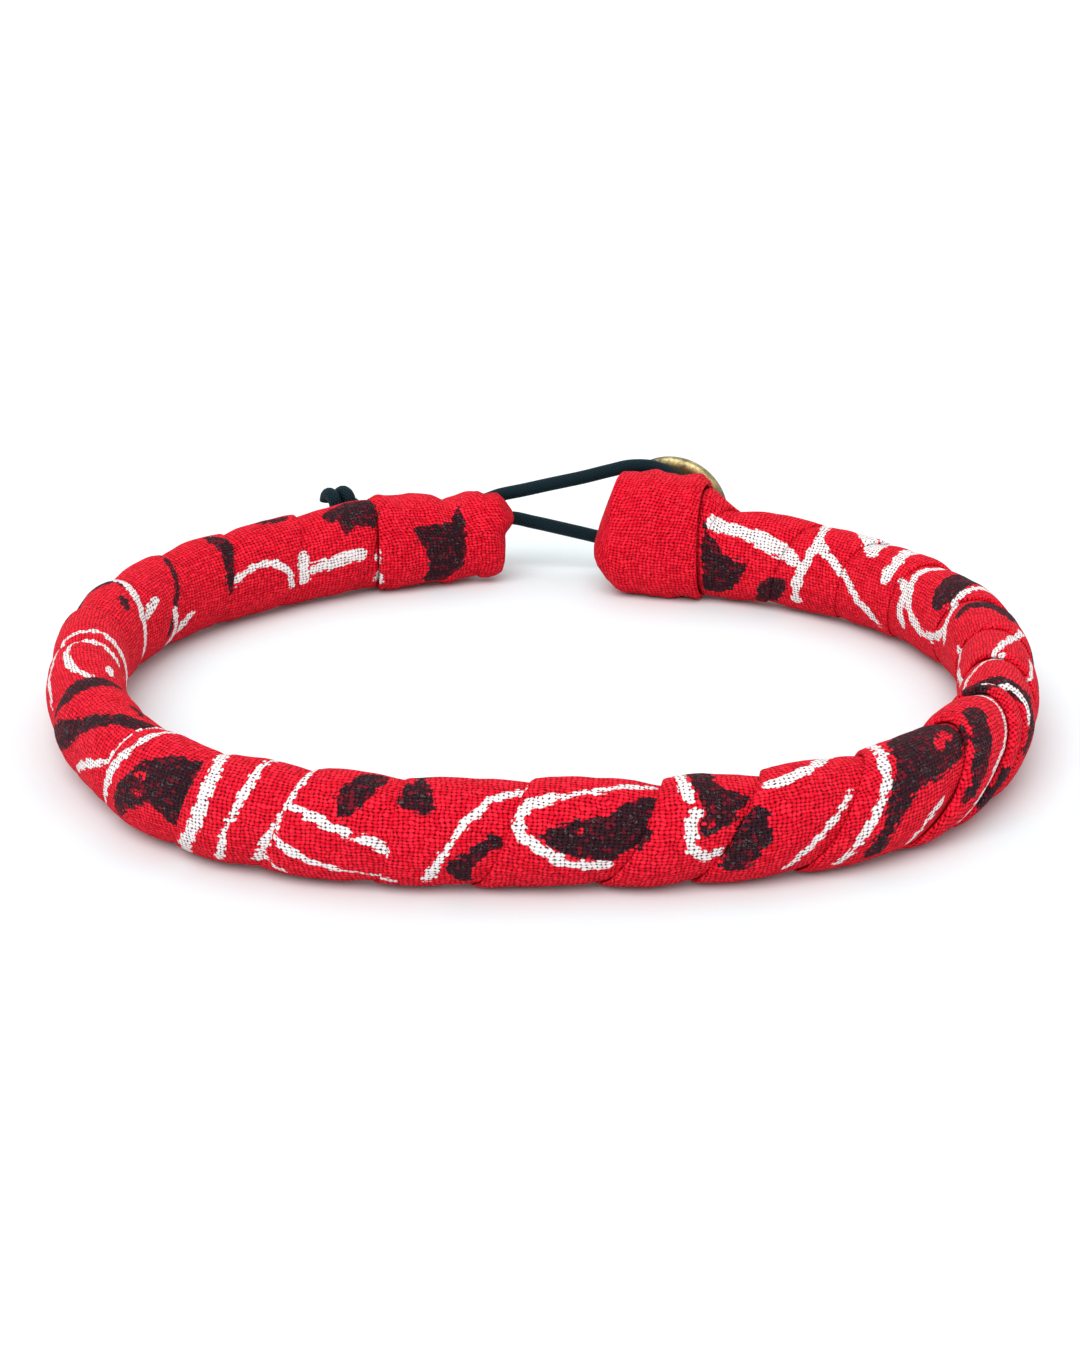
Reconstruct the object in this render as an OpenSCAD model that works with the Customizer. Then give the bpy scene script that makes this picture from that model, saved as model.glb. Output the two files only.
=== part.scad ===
// Bandana bracelet: a roll wound with a strip of cotton, closed by an elastic loop over a button.
// It lies on its side. Z is up, the front of the ring faces -Y, and the origin is on the surface
// that it lies on, under the middle of its outline.

/* [Ring] */
// Radius of the ring that the middle of the band follows
ring_r = 32.3; // [30:0.1:36]
// Thickness of the band, from the face on the wrist to the outer face
band_w = 5.6; // [5:0.1:6.5]
// Height of the band as it lies, which is its width on the wrist
band_h = 7.1; // [6.5:0.1:8]

/* [Wound cloth] */
// How far the folded edge of a turn stands over the turn before it
lap_step = 0.4; // [0.2:0.05:0.6]
// Points round the section of the band, with 15 degrees between them at 24
section_points = 24; // [24:24:48]

/* [End wraps] */
// Height of the wrap at the end with the elastic loop
loop_wrap_h = 7.6; // [7:0.1:8.4]
// Height of the wrap at the end with the button
button_wrap_h = 10.1; // [9.3:0.1:10.8]
// Clearance between the core of the band and the wraps round its ends
wrap_gap = 0.3; // [0.2:0.05:0.5]

/* [Elastic] */
// Diameter of the elastic cord
elastic_d = 1.1; // [0.8:0.1:1.2]
// Distance of the two turns of the knot from its middle, along the band
knot_spread = 0.7; // [0.6:0.05:0.8]

/* [Button] */
// Diameter of the button
button_d = 9.4; // [8:0.1:10]
// Thickness of the button at its rim
button_rim = 1.1; // [0.8:0.1:1.5]
// Height of the dome over the rim
button_dome = 1.1; // [0.5:0.1:1.6]
// Diameter of the neck that the elastic hooks behind
neck_d = 3.6; // [3:0.1:4]

/* [Hidden] */

// Distance from the origin forward to the centre of the ring, which centres the outline
ring_forward = 1.4;

// The real ring isn't quite round. One row for each 20 degrees, from the back by the left,
// the front and the right to the back again: [middle line outwards, half height more]
ring_pitch = 20;
ring_rows = [
    [ 0.6,  0.10],
    [ 0.0,  0.15],
    [-0.4,  0.10],
    [ 0.1,  0.00],
    [ 0.1,  0.00],
    [-0.1, -0.05],
    [ 0.1, -0.05],
    [ 0.9, -0.05],
    [-0.3,  0.00],
    [-1.7, -0.10],
    [-0.5, -0.15],
    [ 1.3,  0.05],
    [ 0.9,  0.10],
    [ 0.0, -0.05],
    [ 0.2,  0.00],
    [ 0.1,  0.00],
    [-0.9,  0.15],
    [-2.5,  0.35],
    [-2.2,  0.35]
];

// Folded edges of the wound strip, one row a turn, as ring angles from the front of the ring:
// [where the edge crosses the outer foot, where it then crosses the top]
foot_angle = -45;
top_angle = 90;
laps = [
    [-155.5, -151.2],
    [-147.0, -142.9],
    [-134.5, -129.9],
    [-123.5, -118.9],
    [-111.5, -107.0],
    [-100.0,  -95.6],
    [ -88.0,  -83.1],
    [ -75.5,  -71.0],
    [ -64.5,  -60.2],
    [ -53.0,  -49.8],
    [ -40.0,  -37.9],
    [ -30.2,  -25.7],
    [ -16.9,  -14.7],
    [  -6.2,   -1.7],
    [   5.9,   12.8],
    [  18.7,   24.0],
    [  28.8,   35.2],
    [  43.6,   51.2],
    [  53.8,   59.4],
    [  62.0,   67.5],
    [  72.0,   77.3],
    [  82.0,   86.9],
    [  95.0,   99.7],
    [ 109.0,  114.6],
    [ 121.0,  126.0],
    [ 135.0,  140.3],
    [ 146.5,  150.5],
    [ 153.7,  158.5]
];

// How far the top of the band swells up to the wrap at the button end: [ring angle, height more]
swell_rows = [
    [149.5, 0.0],
    [151.0, 0.45],
    [152.5, 1.05],
    [154.2, 1.4]
];

// A turn of cloth across its width: [share of the way to the next edge, share of lap_step that it lifts]
lap_profile = [
    [0.00, -0.5],
    [0.03,  0.3],
    [0.10,  0.5],
    [0.42,  0.4],
    [0.74,  0.1]
];

// Core of the band inside the end wraps: half its thickness and height, the ring angles where it
// ends, and the angle from there to the floor of the pocket that it sits in
core_half_w = 1.9;
core_half_h = 2.6;
core_end_loop = -169.0;
core_end_button = 165.5;
pocket_floor = 1.2;

// Sections of the wrap at the loop end, from its mouth to its tip. Its last turn stops short of the
// tip, and the elastic comes out from under it there:
// [ring angle, half thickness, share of the height, lift, middle outwards]
loop_wrap_rows = [
    [-156.0, 3.10, 0.98, 0.10,  0.00],
    [-156.8, 3.25, 1.00, 0.05,  0.00],
    [-163.5, 3.15, 0.95, 0.10,  0.00],
    [-166.0, 3.10, 0.89, 0.15,  0.00],
    [-168.0, 3.05, 0.90, 0.20,  0.00],
    [-171.5, 3.00, 0.93, 0.25,  0.00],
    [-172.0, 2.00, 0.93, 0.30, -0.95],
    [-174.0, 1.95, 0.92, 0.35, -0.95],
    [-175.0, 1.80, 0.82, 0.55, -0.95],
    [-176.0, 1.50, 0.66, 0.85, -0.95],
    [-176.4, 1.10, 0.46, 1.50, -0.95]
];
// Sections of the wrap at the button end, in the same columns
button_wrap_rows = [
    [154.2, 3.20, 0.96, 0.00, 0.00],
    [155.1, 3.45, 0.99, 0.00, 0.00],
    [159.0, 3.50, 0.99, 0.00, 0.00],
    [162.0, 3.50, 1.00, 0.00, 0.00],
    [165.5, 3.45, 0.98, 0.00, 0.00],
    [167.4, 3.35, 0.92, 0.40, 0.00],
    [168.7, 3.15, 0.69, 0.90, 0.00],
    [169.9, 2.80, 0.43, 1.80, 0.00],
    [170.6, 2.20, 0.22, 2.70, 0.00]
];
// Squareness of a section, where 2 is an ellipse
band_square = 2.1;
wrap_square = 2.5;

// Button: the ring angle of its middle and its height, half the thickness of the wrap there, the
// gap from the wrap to its neck, the length of neck behind it, and the bevel of its rim
button_at = 162.0;
button_z = 5.0;
wrap_half_at_button = 3.5;
neck_gap = 0.3;
neck_length = 1.9;
neck_overlap = 0.2;
rim_bevel = 0.3;
neck_sides = 48;
button_sides = 96;

// Elastic: points that its middle passes through, from the loop end round the button's neck and back,
// on a ring of this radius
route_ring_r = 32.3;
elastic_route = [
    [-4.5, 33.0, 4.3],
    [-2.3, 33.3, 4.4],
    [-0.5, 33.1, 4.1],
    [ 1.2, 32.8, 3.8],
    [ 4.9, 32.8, 2.9],
    [ 7.6, 32.3, 2.3],
    [ 9.5, 31.8, 1.9],
    [11.3, 31.2, 2.2],
    [12.7, 30.8, 3.4],
    [13.3, 30.5, 5.0],
    [12.7, 30.8, 6.8],
    [11.3, 31.2, 8.3],
    [ 9.5, 31.8, 9.1],
    [ 7.6, 32.3, 9.1],
    [ 5.8, 32.7, 8.6],
    [ 3.5, 33.1, 7.9],
    [ 1.0, 33.3, 7.3],
    [-1.2, 33.3, 6.8],
    [-3.2, 33.2, 6.4],
    [-4.5, 33.0, 6.0]
];
elastic_sides = 8;

// Knot of the elastic, on the band beside the loop end: its ring angle and section angle, how high
// its middle stands over the cloth, the radius and tilt of its two turns, and the tail to the wrap
knot_at = -153.1;
knot_angle = 33;
knot_lift = 1.7;
knot_turn_r = 0.7;
knot_tilt = 18;
tail_from = -153.6;
tail_to = -155.6;
tail_lift = 1.1;

// Smooth value of a column of a table at a place counted in rows
function row_value(rows, column, place) =
    let (last = len(rows) - 1,
         i = max(0, min(last - 1, floor(place))),
         f = place - i,
         a = rows[max(0, i - 1)][column],
         b = rows[i][column],
         c = rows[i + 1][column],
         d = rows[min(last, i + 2)][column])
    b + f * ((c - a) / 2 + f * ((2 * a - 5 * b + 4 * c - d) / 2 + f * (3 * b - a - 3 * c + d) / 2));

function ring_place(t) = (t + 180) / ring_pitch;
function ring_radius(t) = ring_r + row_value(ring_rows, 0, ring_place(t));
function half_height(t) = band_h / 2 + row_value(ring_rows, 1, ring_place(t));

// Point of the middle line over the floor, and the direction away from the wrist there
slope_step = 0.5;
function ring_xy(t) = ring_radius(t) * [sin(t), -cos(t)] - [0, ring_forward];
function outward(t) =
    let (d = ring_xy(t + slope_step) - ring_xy(t - slope_step))
    [d.y, -d.x] / norm(d);

// A value raised to a power with its sign kept
function rounded(x, square) = sign(x) * pow(abs(x), 2 / square);

// Point on a section at ring angle t and section angle a, where 0 is outwards and 90 is up.
// It is kept above the floor, where the cloth is pressed flat.
function section_point(t, a, half_w, half_h, mid_z, shift, square) =
    let (c = ring_xy(t),
         n = outward(t),
         x = shift + half_w * rounded(cos(a), square),
         z = half_h * rounded(sin(a), square))
    [c.x + n.x * x, c.y + n.y * x, max(0, mid_z + z)];

// Point on the band's cloth, lifted off the plain section
function band_point(t, a, lift) =
    let (h = half_height(t),
         swell = sin(a) > 0 ? lookup(t, swell_rows) : 0)
    section_point(t, a, band_w / 2 + lift, h + lift + swell, h, 0, band_square);

function section_angle(i) = foot_angle + i * 360 / section_points;
function band_ring(t, lift) = [for (m = [0 : section_points - 1]) band_point(t, section_angle(m), lift)];

// A ring of points on a section
function section_ring(t, half_w, half_h, mid_z, shift, square) = [
    for (m = [0 : section_points - 1])
        section_point(t, section_angle(m), half_w, half_h, mid_z, shift, square)
];

function mix(a, b, f) = a + (b - a) * f;

// Ring angle of the folded edge after i steps round the band
steps_to_top = (top_angle - foot_angle) * section_points / 360;
function edge_t(i) =
    let (k = floor(i / section_points), m = i - k * section_points)
    k >= len(laps) - 1 ? laps[len(laps) - 1][0] :
    m < steps_to_top ? mix(laps[k][0], laps[k][1], m / steps_to_top) :
    mix(laps[k][1], laps[k + 1][0], (m - steps_to_top) / (section_points - steps_to_top));

// Point of the wound surface after i steps round the band, in row j of the lap's profile
function wound_point(i, j) =
    let (t = mix(edge_t(i), edge_t(i + section_points), lap_profile[j][0]))
    band_point(t, section_angle(i), lap_profile[j][1] * lap_step);

// Two triangles for a face with corners a, b, c and d
function quad(a, b, c, d) = [[a, b, d], [b, c, d]];

// Faces between two closed rings of n points that start at vertices a and b
function ring_faces(a, b, n) = [
    for (m = [0 : n - 1])
        let (q = (m + 1) % n)
        each quad(a + m, a + q, b + q, b + m)
];
function first_cap(n) = [[for (m = [n - 1 : -1 : 0]) m]];
function last_cap(start, n) = [[for (m = [0 : n - 1]) start + m]];

// Solid through a list of closed rings
module lofted(rings) {
    n = len(rings[0]);
    polyhedron(
        points = [for (r = rings) each r],
        faces = concat(
            first_cap(n),
            [for (k = [0 : len(rings) - 2]) each ring_faces(k * n, (k + 1) * n, n)],
            last_cap((len(rings) - 1) * n, n)
        )
    );
}

// The wound roll: one helical surface with a step at each folded edge, closed at both seams,
// and the bare core that goes on into the end wraps
module wound_band() {
    n = section_points;
    rows = len(lap_profile);
    turns = (len(laps) - 2) * n;
    seam_a = laps[0][0];
    seam_b = laps[len(laps) - 1][0];
    h_a = half_height(seam_a);
    h_b = half_height(seam_b);
    foot_lift = lap_profile[0][1] * lap_step;
    foots = [for (i = [0 : turns + n]) wound_point(i, 0)];
    laid = [for (i = [0 : turns], j = [1 : rows - 1]) wound_point(i, j)];
    ring_a = band_ring(seam_a, foot_lift);
    ring_b = band_ring(seam_b, foot_lift);
    core = concat(
        section_ring(seam_a, core_half_w, core_half_h, h_a, 0, band_square),
        section_ring(core_end_loop, core_half_w, core_half_h, h_a, 0, band_square),
        section_ring(seam_b, core_half_w, core_half_h, h_b, 0, band_square),
        section_ring(core_end_button, core_half_w, core_half_h, h_b, 0, band_square)
    );
    laid_at = len(foots);
    ring_a_at = laid_at + len(laid);
    ring_b_at = ring_a_at + n;
    core_at = ring_b_at + n;
    points = concat(foots, laid, ring_a, ring_b, core);
    // Number of the vertex after i steps in profile row j
    function at(i, j) = j == 0 ? i : laid_at + i * (rows - 1) + j - 1;
    // Seam rings share their first point with the first and the last foot of the cloth
    function a_at(m) = m % n == 0 ? at(0, 0) : ring_a_at + m;
    function b_at(m) = m % n == 0 ? at(turns + n, 0) : ring_b_at + m;
    function core_ring(k, m) = core_at + k * n + m % n;
    wound = [
        for (i = [0 : turns - 1], j = [0 : rows - 1])
            let (next_q = j < rows - 1 ? at(i + 1, j + 1) : at(i + 1 + n, 0),
                 next_p = j < rows - 1 ? at(i, j + 1) : at(i + n, 0))
            each quad(at(i, j), at(i + 1, j), next_q, next_p)
    ];
    start = concat(
        [[at(0, 0), a_at(1), at(1, 0)]],
        [for (m = [1 : n - 2]) each quad(a_at(m), a_at(m + 1), at(m + 1, 0), at(m, 0))],
        [[at(n - 1, 0), a_at(n - 1), at(0, 0)]],
        [for (j = [0 : rows - 2]) [at(n - 1, 0), at(0, j), at(0, j + 1)]],
        [[at(n - 1, 0), at(0, rows - 1), at(n, 0)]]
    );
    end = concat(
        [for (j = [0 : rows - 2]) [at(turns + 1, 0), at(turns, j + 1), at(turns, j)]],
        [[at(turns + 1, 0), b_at(0), at(turns, rows - 1)]],
        [[at(turns + 1, 0), b_at(1), b_at(0)]],
        [for (m = [1 : n - 2]) each quad(at(turns + m, 0), at(turns + m + 1, 0), b_at(m + 1), b_at(m))],
        [[at(turns + n - 1, 0), b_at(n), b_at(n - 1)]]
    );
    shoulders = [
        for (m = [0 : n - 1])
            each concat(
                quad(core_ring(0, m), core_ring(0, m + 1), a_at(m + 1), a_at(m)),
                quad(core_ring(1, m), core_ring(1, m + 1), core_ring(0, m + 1), core_ring(0, m)),
                quad(b_at(m), b_at(m + 1), core_ring(2, m + 1), core_ring(2, m)),
                quad(core_ring(2, m), core_ring(2, m + 1), core_ring(3, m + 1), core_ring(3, m))
            )
    ];
    ends = [
        [for (m = [n - 1 : -1 : 0]) core_ring(1, m)],
        [for (m = [0 : n - 1]) core_ring(3, m)]
    ];
    color("crimson")
        polyhedron(points = points, faces = concat(wound, start, end, shoulders, ends));
}

// A wrap round one end of the band: a cup of wound cloth, lofted through its rows from its mouth,
// with a pocket for the core
module end_wrap(rows, height, mid_z, core_end, toward) {
    hold_w = core_half_w + wrap_gap;
    hold_h = core_half_h + wrap_gap;
    mouth = rows[0][0];
    pocket = [
        section_ring(core_end + toward * pocket_floor, hold_w, hold_h, mid_z, 0, band_square),
        section_ring(mouth, hold_w, hold_h, mid_z, 0, band_square)
    ];
    outer = [
        for (r = rows)
            let (half_h = height * r[2] / 2)
            section_ring(r[0], r[1], half_h, half_h + r[3], r[4], wrap_square)
    ];
    rings = concat(pocket, outer);
    lofted(toward > 0 ? rings : [for (k = [len(rings) - 1 : -1 : 0]) rings[k]]);
}

module loop_end_wrap() {
    color("crimson")
        end_wrap(loop_wrap_rows, loop_wrap_h, half_height(laps[0][0]), core_end_loop, -1);
}

module button_end_wrap() {
    color("crimson")
        end_wrap(button_wrap_rows, button_wrap_h, half_height(laps[len(laps) - 1][0]), core_end_button, 1);
}

// Ring of points round a route, square to it
function tube_ring(centre, along, radius, sides) =
    let (side = cross(along, [0, 0, 1]),
         u = norm(side) > 0.01 ? side / norm(side) : [1, 0, 0],
         v = cross(u, along))
    [for (m = [0 : sides - 1]) centre + radius * (cos(m * 360 / sides) * u + sin(m * 360 / sides) * v)];

function route_along(route, k) =
    let (d = route[min(len(route) - 1, k + 1)] - route[max(0, k - 1)])
    d / norm(d);

// Point of the elastic moved out from the middle of the ring as far as the ring is larger
function on_ring(p) =
    let (out = [p.x, p.y + ring_forward, 0])
    p + (ring_r - route_ring_r) * out / norm(out);

module elastic_loop() {
    route = [for (p = elastic_route) on_ring(p)];
    color("#06303a")
        lofted([
            for (k = [0 : len(route) - 1])
                tube_ring(route[k], route_along(route, k), elastic_d / 2, elastic_sides)
        ]);
}

// One turn of the knot round the band's direction
module knot_turn(tilt) {
    rotate([0, 90 + tilt, 0])
        rotate_extrude($fn = neck_sides)
            translate([knot_turn_r, 0])
                circle(d = elastic_d, $fn = neck_sides);
}

module elastic_knot() {
    middle = band_point(knot_at, knot_angle, knot_lift);
    tail_start = band_point(tail_from, knot_angle, tail_lift);
    tail_end = band_point(tail_to, knot_angle, tail_lift);
    along = tail_end - tail_start;
    color("#06303a")
        union() {
            translate(middle)
                rotate([0, 0, atan2(along.y, along.x)]) {
                    translate([-knot_spread, 0, 0])
                        knot_turn(knot_tilt);
                    translate([knot_spread, 0, 0])
                        knot_turn(-knot_tilt);
                    translate([-knot_spread, 0, 0])
                        rotate([0, 90, 0])
                            cylinder(h = 2 * knot_spread, d = elastic_d, $fn = neck_sides);
                }
            translate(tail_start)
                rotate([0, 90, atan2(along.y, along.x)])
                    cylinder(h = norm(along), d = elastic_d, $fn = neck_sides);
        }
}

// Direction of the button's face, and the end of its neck beside the wrap
button_out = outward(button_at);
neck_xy = ring_xy(button_at) + button_out * (wrap_half_at_button + neck_gap);

// Domed button on its neck, facing away from the wrist
module button() {
    r = button_d / 2;
    color("#8a7a45")
        translate([neck_xy.x, neck_xy.y, button_z])
            rotate([0, 90, atan2(button_out.y, button_out.x)])
                union() {
                    cylinder(h = neck_length + neck_overlap, d = neck_d, $fn = neck_sides);
                    translate([0, 0, neck_length])
                        rotate_extrude($fn = button_sides)
                            polygon([
                                [0, 0],
                                [r - rim_bevel, 0],
                                [r, rim_bevel],
                                [r, button_rim],
                                [0, button_rim + button_dome]
                            ]);
                }
}

wound_band();
loop_end_wrap();
button_end_wrap();
elastic_loop();
elastic_knot();
button();
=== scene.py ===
"""Bandana bracelet: a padded roll wound with a folded strip of printed cotton, closed by an
elastic loop over a brass button. Lengths inside the functions are in millimetres."""

import functools
import math

import bpy
import numpy as np
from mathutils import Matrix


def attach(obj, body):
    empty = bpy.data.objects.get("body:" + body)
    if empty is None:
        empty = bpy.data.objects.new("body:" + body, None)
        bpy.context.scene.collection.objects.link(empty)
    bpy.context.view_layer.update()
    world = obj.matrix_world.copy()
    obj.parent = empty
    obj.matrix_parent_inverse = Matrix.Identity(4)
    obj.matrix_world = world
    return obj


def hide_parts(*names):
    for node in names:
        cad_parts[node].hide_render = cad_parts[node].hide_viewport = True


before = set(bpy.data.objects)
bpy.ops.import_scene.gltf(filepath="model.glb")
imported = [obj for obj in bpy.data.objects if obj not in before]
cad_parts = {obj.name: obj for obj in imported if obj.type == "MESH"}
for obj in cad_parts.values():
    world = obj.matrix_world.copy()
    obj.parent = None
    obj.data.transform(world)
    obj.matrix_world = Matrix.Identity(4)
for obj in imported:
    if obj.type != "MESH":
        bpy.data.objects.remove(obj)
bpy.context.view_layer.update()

bl_info = {
    "name": "Bandana Bracelet",
    "version": (1, 0, 0),
    "blender": (4, 5, 0),
    "location": "View3D > Sidebar > Bracelet",
    "description": "Builds a bracelet of bandana cotton wound round a padded core",
    "category": "Object",
}

MM = 0.001

# The ring's middle line and the height of the band. One row for each 20 degrees, from the back
# by the left, the front and the right to the back again: (middle line outwards, half height more)
RING_R = 32.3
RING_FORWARD = 1.4
RING_PITCH = 20
BAND_W = 5.6
BAND_H = 7.1
BAND_SQUARE = 2.1
WRAP_SQUARE = 2.5
RING_ROWS = (
    (0.6, 0.10),
    (0.0, 0.15),
    (-0.4, 0.10),
    (0.1, 0.00),
    (0.1, 0.00),
    (-0.1, -0.05),
    (0.1, -0.05),
    (0.9, -0.05),
    (-0.3, 0.00),
    (-1.7, -0.10),
    (-0.5, -0.15),
    (1.3, 0.05),
    (0.9, 0.10),
    (0.0, -0.05),
    (0.2, 0.00),
    (0.1, 0.00),
    (-0.9, 0.15),
    (-2.5, 0.35),
    (-2.2, 0.35),
)
# How far the top of the band swells up to the wrap at the button end: (ring angle, height more)
SWELL_ROWS = ((149.5, 0.0), (151.0, 0.45), (152.5, 1.05), (154.2, 1.4))

# Folded edges of the wound strip, one row a turn, as ring angles from the front of the ring:
# (edge at the outer foot, at the outer side, at the top, how boldly the fold stands up, degrees that
# the threads are turned). The first two and the last two edges lie under the end wraps.
FOOT_ANGLE = -45
SIDE_ANGLE = 20
TOP_ANGLE = 90
LAPS = (
    (-172.0, -170.0, -168.0, 1.0, 0),
    (-160.0, -158.5, -157.0, 0.7, 2),
    (-147.0, -144.9, -142.9, 0.6, -3),
    (-135.0, -132.5, -130.4, 0.6, 3),
    (-123.0, -120.8, -118.4, 0.6, -2),
    (-111.5, -109.5, -107.0, 0.7, 4),
    (-100.0, -97.8, -95.6, 0.6, -3),
    (-87.0, -85.0, -82.0, 0.7, 2),
    (-72.0, -69.2, -68.3, 0.7, -4),
    (-62.5, -60.5, -58.5, 0.2, 2),
    (-53.2, -50.5, -48.7, 1.0, -1),
    (-40.5, -37.8, -37.4, 0.9, 0),
    (-30.0, -27.2, -25.6, 0.7, 0),
    (-17.0, -15.6, -15.1, 0.35, 1),
    (-6.2, -3.3, -1.0, 0.9, 5),
    (8.2, 12.0, 13.9, 1.1, 3),
    (17.8, 21.8, 25.1, 1.1, -2),
    (29.6, 33.4, 37.4, 0.9, -3),
    (42.6, 48.5, 52.5, 1.35, 4),
    (49.0, 60.1, 63.4, 1.0, -3),
    (56.5, 65.0, 65.6, 0.9, 3),
    (71.0, 74.8, 76.8, 0.8, -2),
    (83.0, 87.0, 88.0, 0.6, 4),
    (95.0, 98.0, 99.5, 0.6, -3),
    (110.0, 113.0, 115.0, 0.6, 2),
    (122.0, 124.5, 126.5, 0.5, -4),
    (133.0, 135.0, 137.0, 0.6, 3),
    (146.0, 148.0, 150.0, 0.6, -2),
    (159.0, 161.0, 163.0, 1.0, 1),
    (170.0, 171.5, 173.0, 1.0, 0),
)
# The cloth is pulled flat where the band rests and on the wrist side:
# (section angle, share of a fold's height that is left, how far the cloth sinks)
PRESS_ROWS = (
    (-90, 0.50, 0.28),
    (-55, 0.60, 0.24),
    (-20, 0.85, 0.20),
    (10, 1.00, 0.16),
    (90, 1.00, 0.13),
    (140, 0.75, 0.20),
    (180, 0.60, 0.24),
    (225, 0.50, 0.30),
    (270, 0.50, 0.28),
)
# On the left the cloth is pulled toward the wrist: (ring angle, how far)
PULL_ROWS = ((-118, 0.0), (-98, 0.28), (-84, 0.45), (-70, 0.20), (-58, 0.0))
# Surface of a turn across its width, from its folded edge to where the next turn covers it:
# (share of the way to the next edge, height over the plain section)
TURN_ROWS = (
    (0.035, 0.14),
    (0.12, 0.26),
    (0.25, 0.32),
    (0.42, 0.31),
    (0.60, 0.22),
    (0.78, 0.06),
    (0.90, -0.12),
    (1.00, -0.28),
    (1.06, -0.36),
    (1.20, -0.40),
    (1.55, -0.40),
)
# Shares of the way where the face of a turn and the layer folded under it have points, and the
# degrees that its rounded folded edge turns through
TOP_SHARES = (
    0.07, 0.12, 0.18, 0.24, 0.30, 0.36, 0.42, 0.48, 0.54,
    0.60, 0.66, 0.72, 0.78, 0.84, 0.90, 0.95, 1.00, 1.07, 1.20, 1.50,
)
UNDER_SHARES = (1.50, 1.20, 0.90, 0.50, 0.15)
LIP_ANGLES = (-75, -38, 0, 38, 75)
STRIP_THICK = 0.42
# Steps in one turn round the band, steps over which a folded edge bends from one of its places to
# the next, and degrees that a whole share past the next edge takes up
STEPS = 96
EDGE_BLEND = STEPS // 5 + 3
TAIL_DEGREES = 12.5
# Past this share of a turn the cloth sinks under the next fold. This part of the sink is the same
# under any fold, and the rest grows with how boldly that fold stands up
SINK_SHARE = 0.5
SINK_FIXED = 0.4
# Under the end wraps the strip is squeezed: the ring angles past which it is pushed together, to
# what share, how many degrees before the mouth it begins to thin, and
# (degrees from there, how much thinner, over how many degrees)
HIDDEN_T = (-165.0, 164.0)
HIDDEN_SQUEEZE = 0.15
TUCK_BEFORE = 0.8
TUCKS = ((0.0, 0.6, 1.4), (2.0, 1.0, 3.0))

# Sections of the end wraps, from mouth to tip:
# (ring angle, half thickness, share of the height, lift, middle outwards)
WRAP_THICK = 0.5
LOOP_WRAP_H = 7.6
LOOP_WRAP_ROWS = (
    (-156.0, 3.00, 0.97, 0.10, 0.00),
    (-157.0, 3.20, 1.00, 0.05, 0.00),
    (-163.5, 3.15, 0.95, 0.10, 0.00),
    (-166.0, 3.10, 0.89, 0.15, 0.00),
    (-168.0, 3.05, 0.90, 0.20, 0.00),
    (-171.5, 3.00, 0.93, 0.25, 0.00),
    (-172.0, 2.00, 0.93, 0.30, -0.95),
    (-174.0, 1.95, 0.92, 0.35, -0.95),
    (-175.0, 1.80, 0.82, 0.55, -0.95),
    (-176.0, 1.50, 0.66, 0.85, -0.95),
    (-176.4, 1.10, 0.46, 1.50, -0.95),
    (-176.6, 0.50, 0.22, 2.40, -0.95),
    (-176.5, 0.05, 0.02, 3.20, -0.95),
)
BUTTON_WRAP_H = 10.1
BUTTON_WRAP_ROWS = (
    (154.2, 3.20, 0.96, 0.00, 0.00),
    (155.1, 3.45, 0.99, 0.00, 0.00),
    (159.0, 3.50, 0.99, 0.00, 0.00),
    (162.0, 3.50, 1.00, 0.00, 0.00),
    (165.5, 3.45, 0.98, 0.00, 0.00),
    (167.4, 3.35, 0.92, 0.40, 0.00),
    (168.7, 3.15, 0.69, 0.90, 0.00),
    (169.9, 2.80, 0.43, 1.80, 0.00),
    (170.6, 2.20, 0.22, 2.70, 0.00),
    (170.8, 1.20, 0.12, 3.30, 0.00),
    (170.7, 0.05, 0.02, 3.80, 0.00),
)
# Cut sizes of the cotton in the wraps
LOOP_WRAP_CUT = (12.5, 21.5)
BUTTON_WRAP_CUT = (11.0, 26.0)
# Creases where a turn of a wrap ends: (ring angle at the top, degrees that it leans over half a turn
# round the section, depth). They wander by some degrees, and reach so far in millimetres on the
# side of the tip and on the side of the mouth
LOOP_WRAP_CREASES = ((-166.2, 2.5, 0.16), (-171.0, -3.0, 0.10))
BUTTON_WRAP_CREASES = ((165.0, -3.0, 0.14), (159.0, 4.0, 0.10))
CREASE_WANDER = 0.4
CREASE_REACH = (0.25, 1.1)
# How far the mouth of the wrap at the loop end comes forward on the wrist side, in degrees, and over
# how many rows of its table that fades
MOUTH_LEAN = 1.5
MOUTH_FADE = 2
# Its tip is cut short low down, in degrees, below a step between these shares of its height, from
# this row on and in full after so many more
TIP_SHORT = 1.7
TIP_STEP = (0.5, 0.72)
TIP_FROM = 3
TIP_OVER = 4
# Rings on the inner face of a wrap, on its rounded lip and on its outer face, the rows that the
# inner face stops short of the tip, the degrees that the lip turns through, and the ring where the
# wrap is fullest
INNER_RINGS, LIP_RINGS, OUTER_RINGS = 14, 6, 84
INNER_SHORT = 3.6
LIP_TURN = 75
FULL_RING = 30
# Low folds on a wrap: how close they lie, their height, and the rows over which they come up from
# the lip and die away to the tip
WRAP_WAVES = 1.3
WRAP_FOLD = 0.07
FOLD_RISE = 0.5
FOLD_FADE = 2.5
# Least half thickness and half height of a wrap's inner face
INNER_LEAST = 0.04

# Low creases in the cloth: their height, (waves along the band, waves round it, share of the height),
# how the waves bend: (how far, how often round it, the shift from one to the next), and their own
# shift
CREASE_HEIGHT = 0.03
WAVES = ((1.15, 0.31, 1.0), (2.05, -0.47, 0.55), (0.62, 0.83, 0.6), (3.1, 0.69, 0.3), (1.7, 1.37, 0.3))
WAVE_BEND = (0.7, 0.23, 1.3)
WAVE_SHIFT = 1.9

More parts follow.
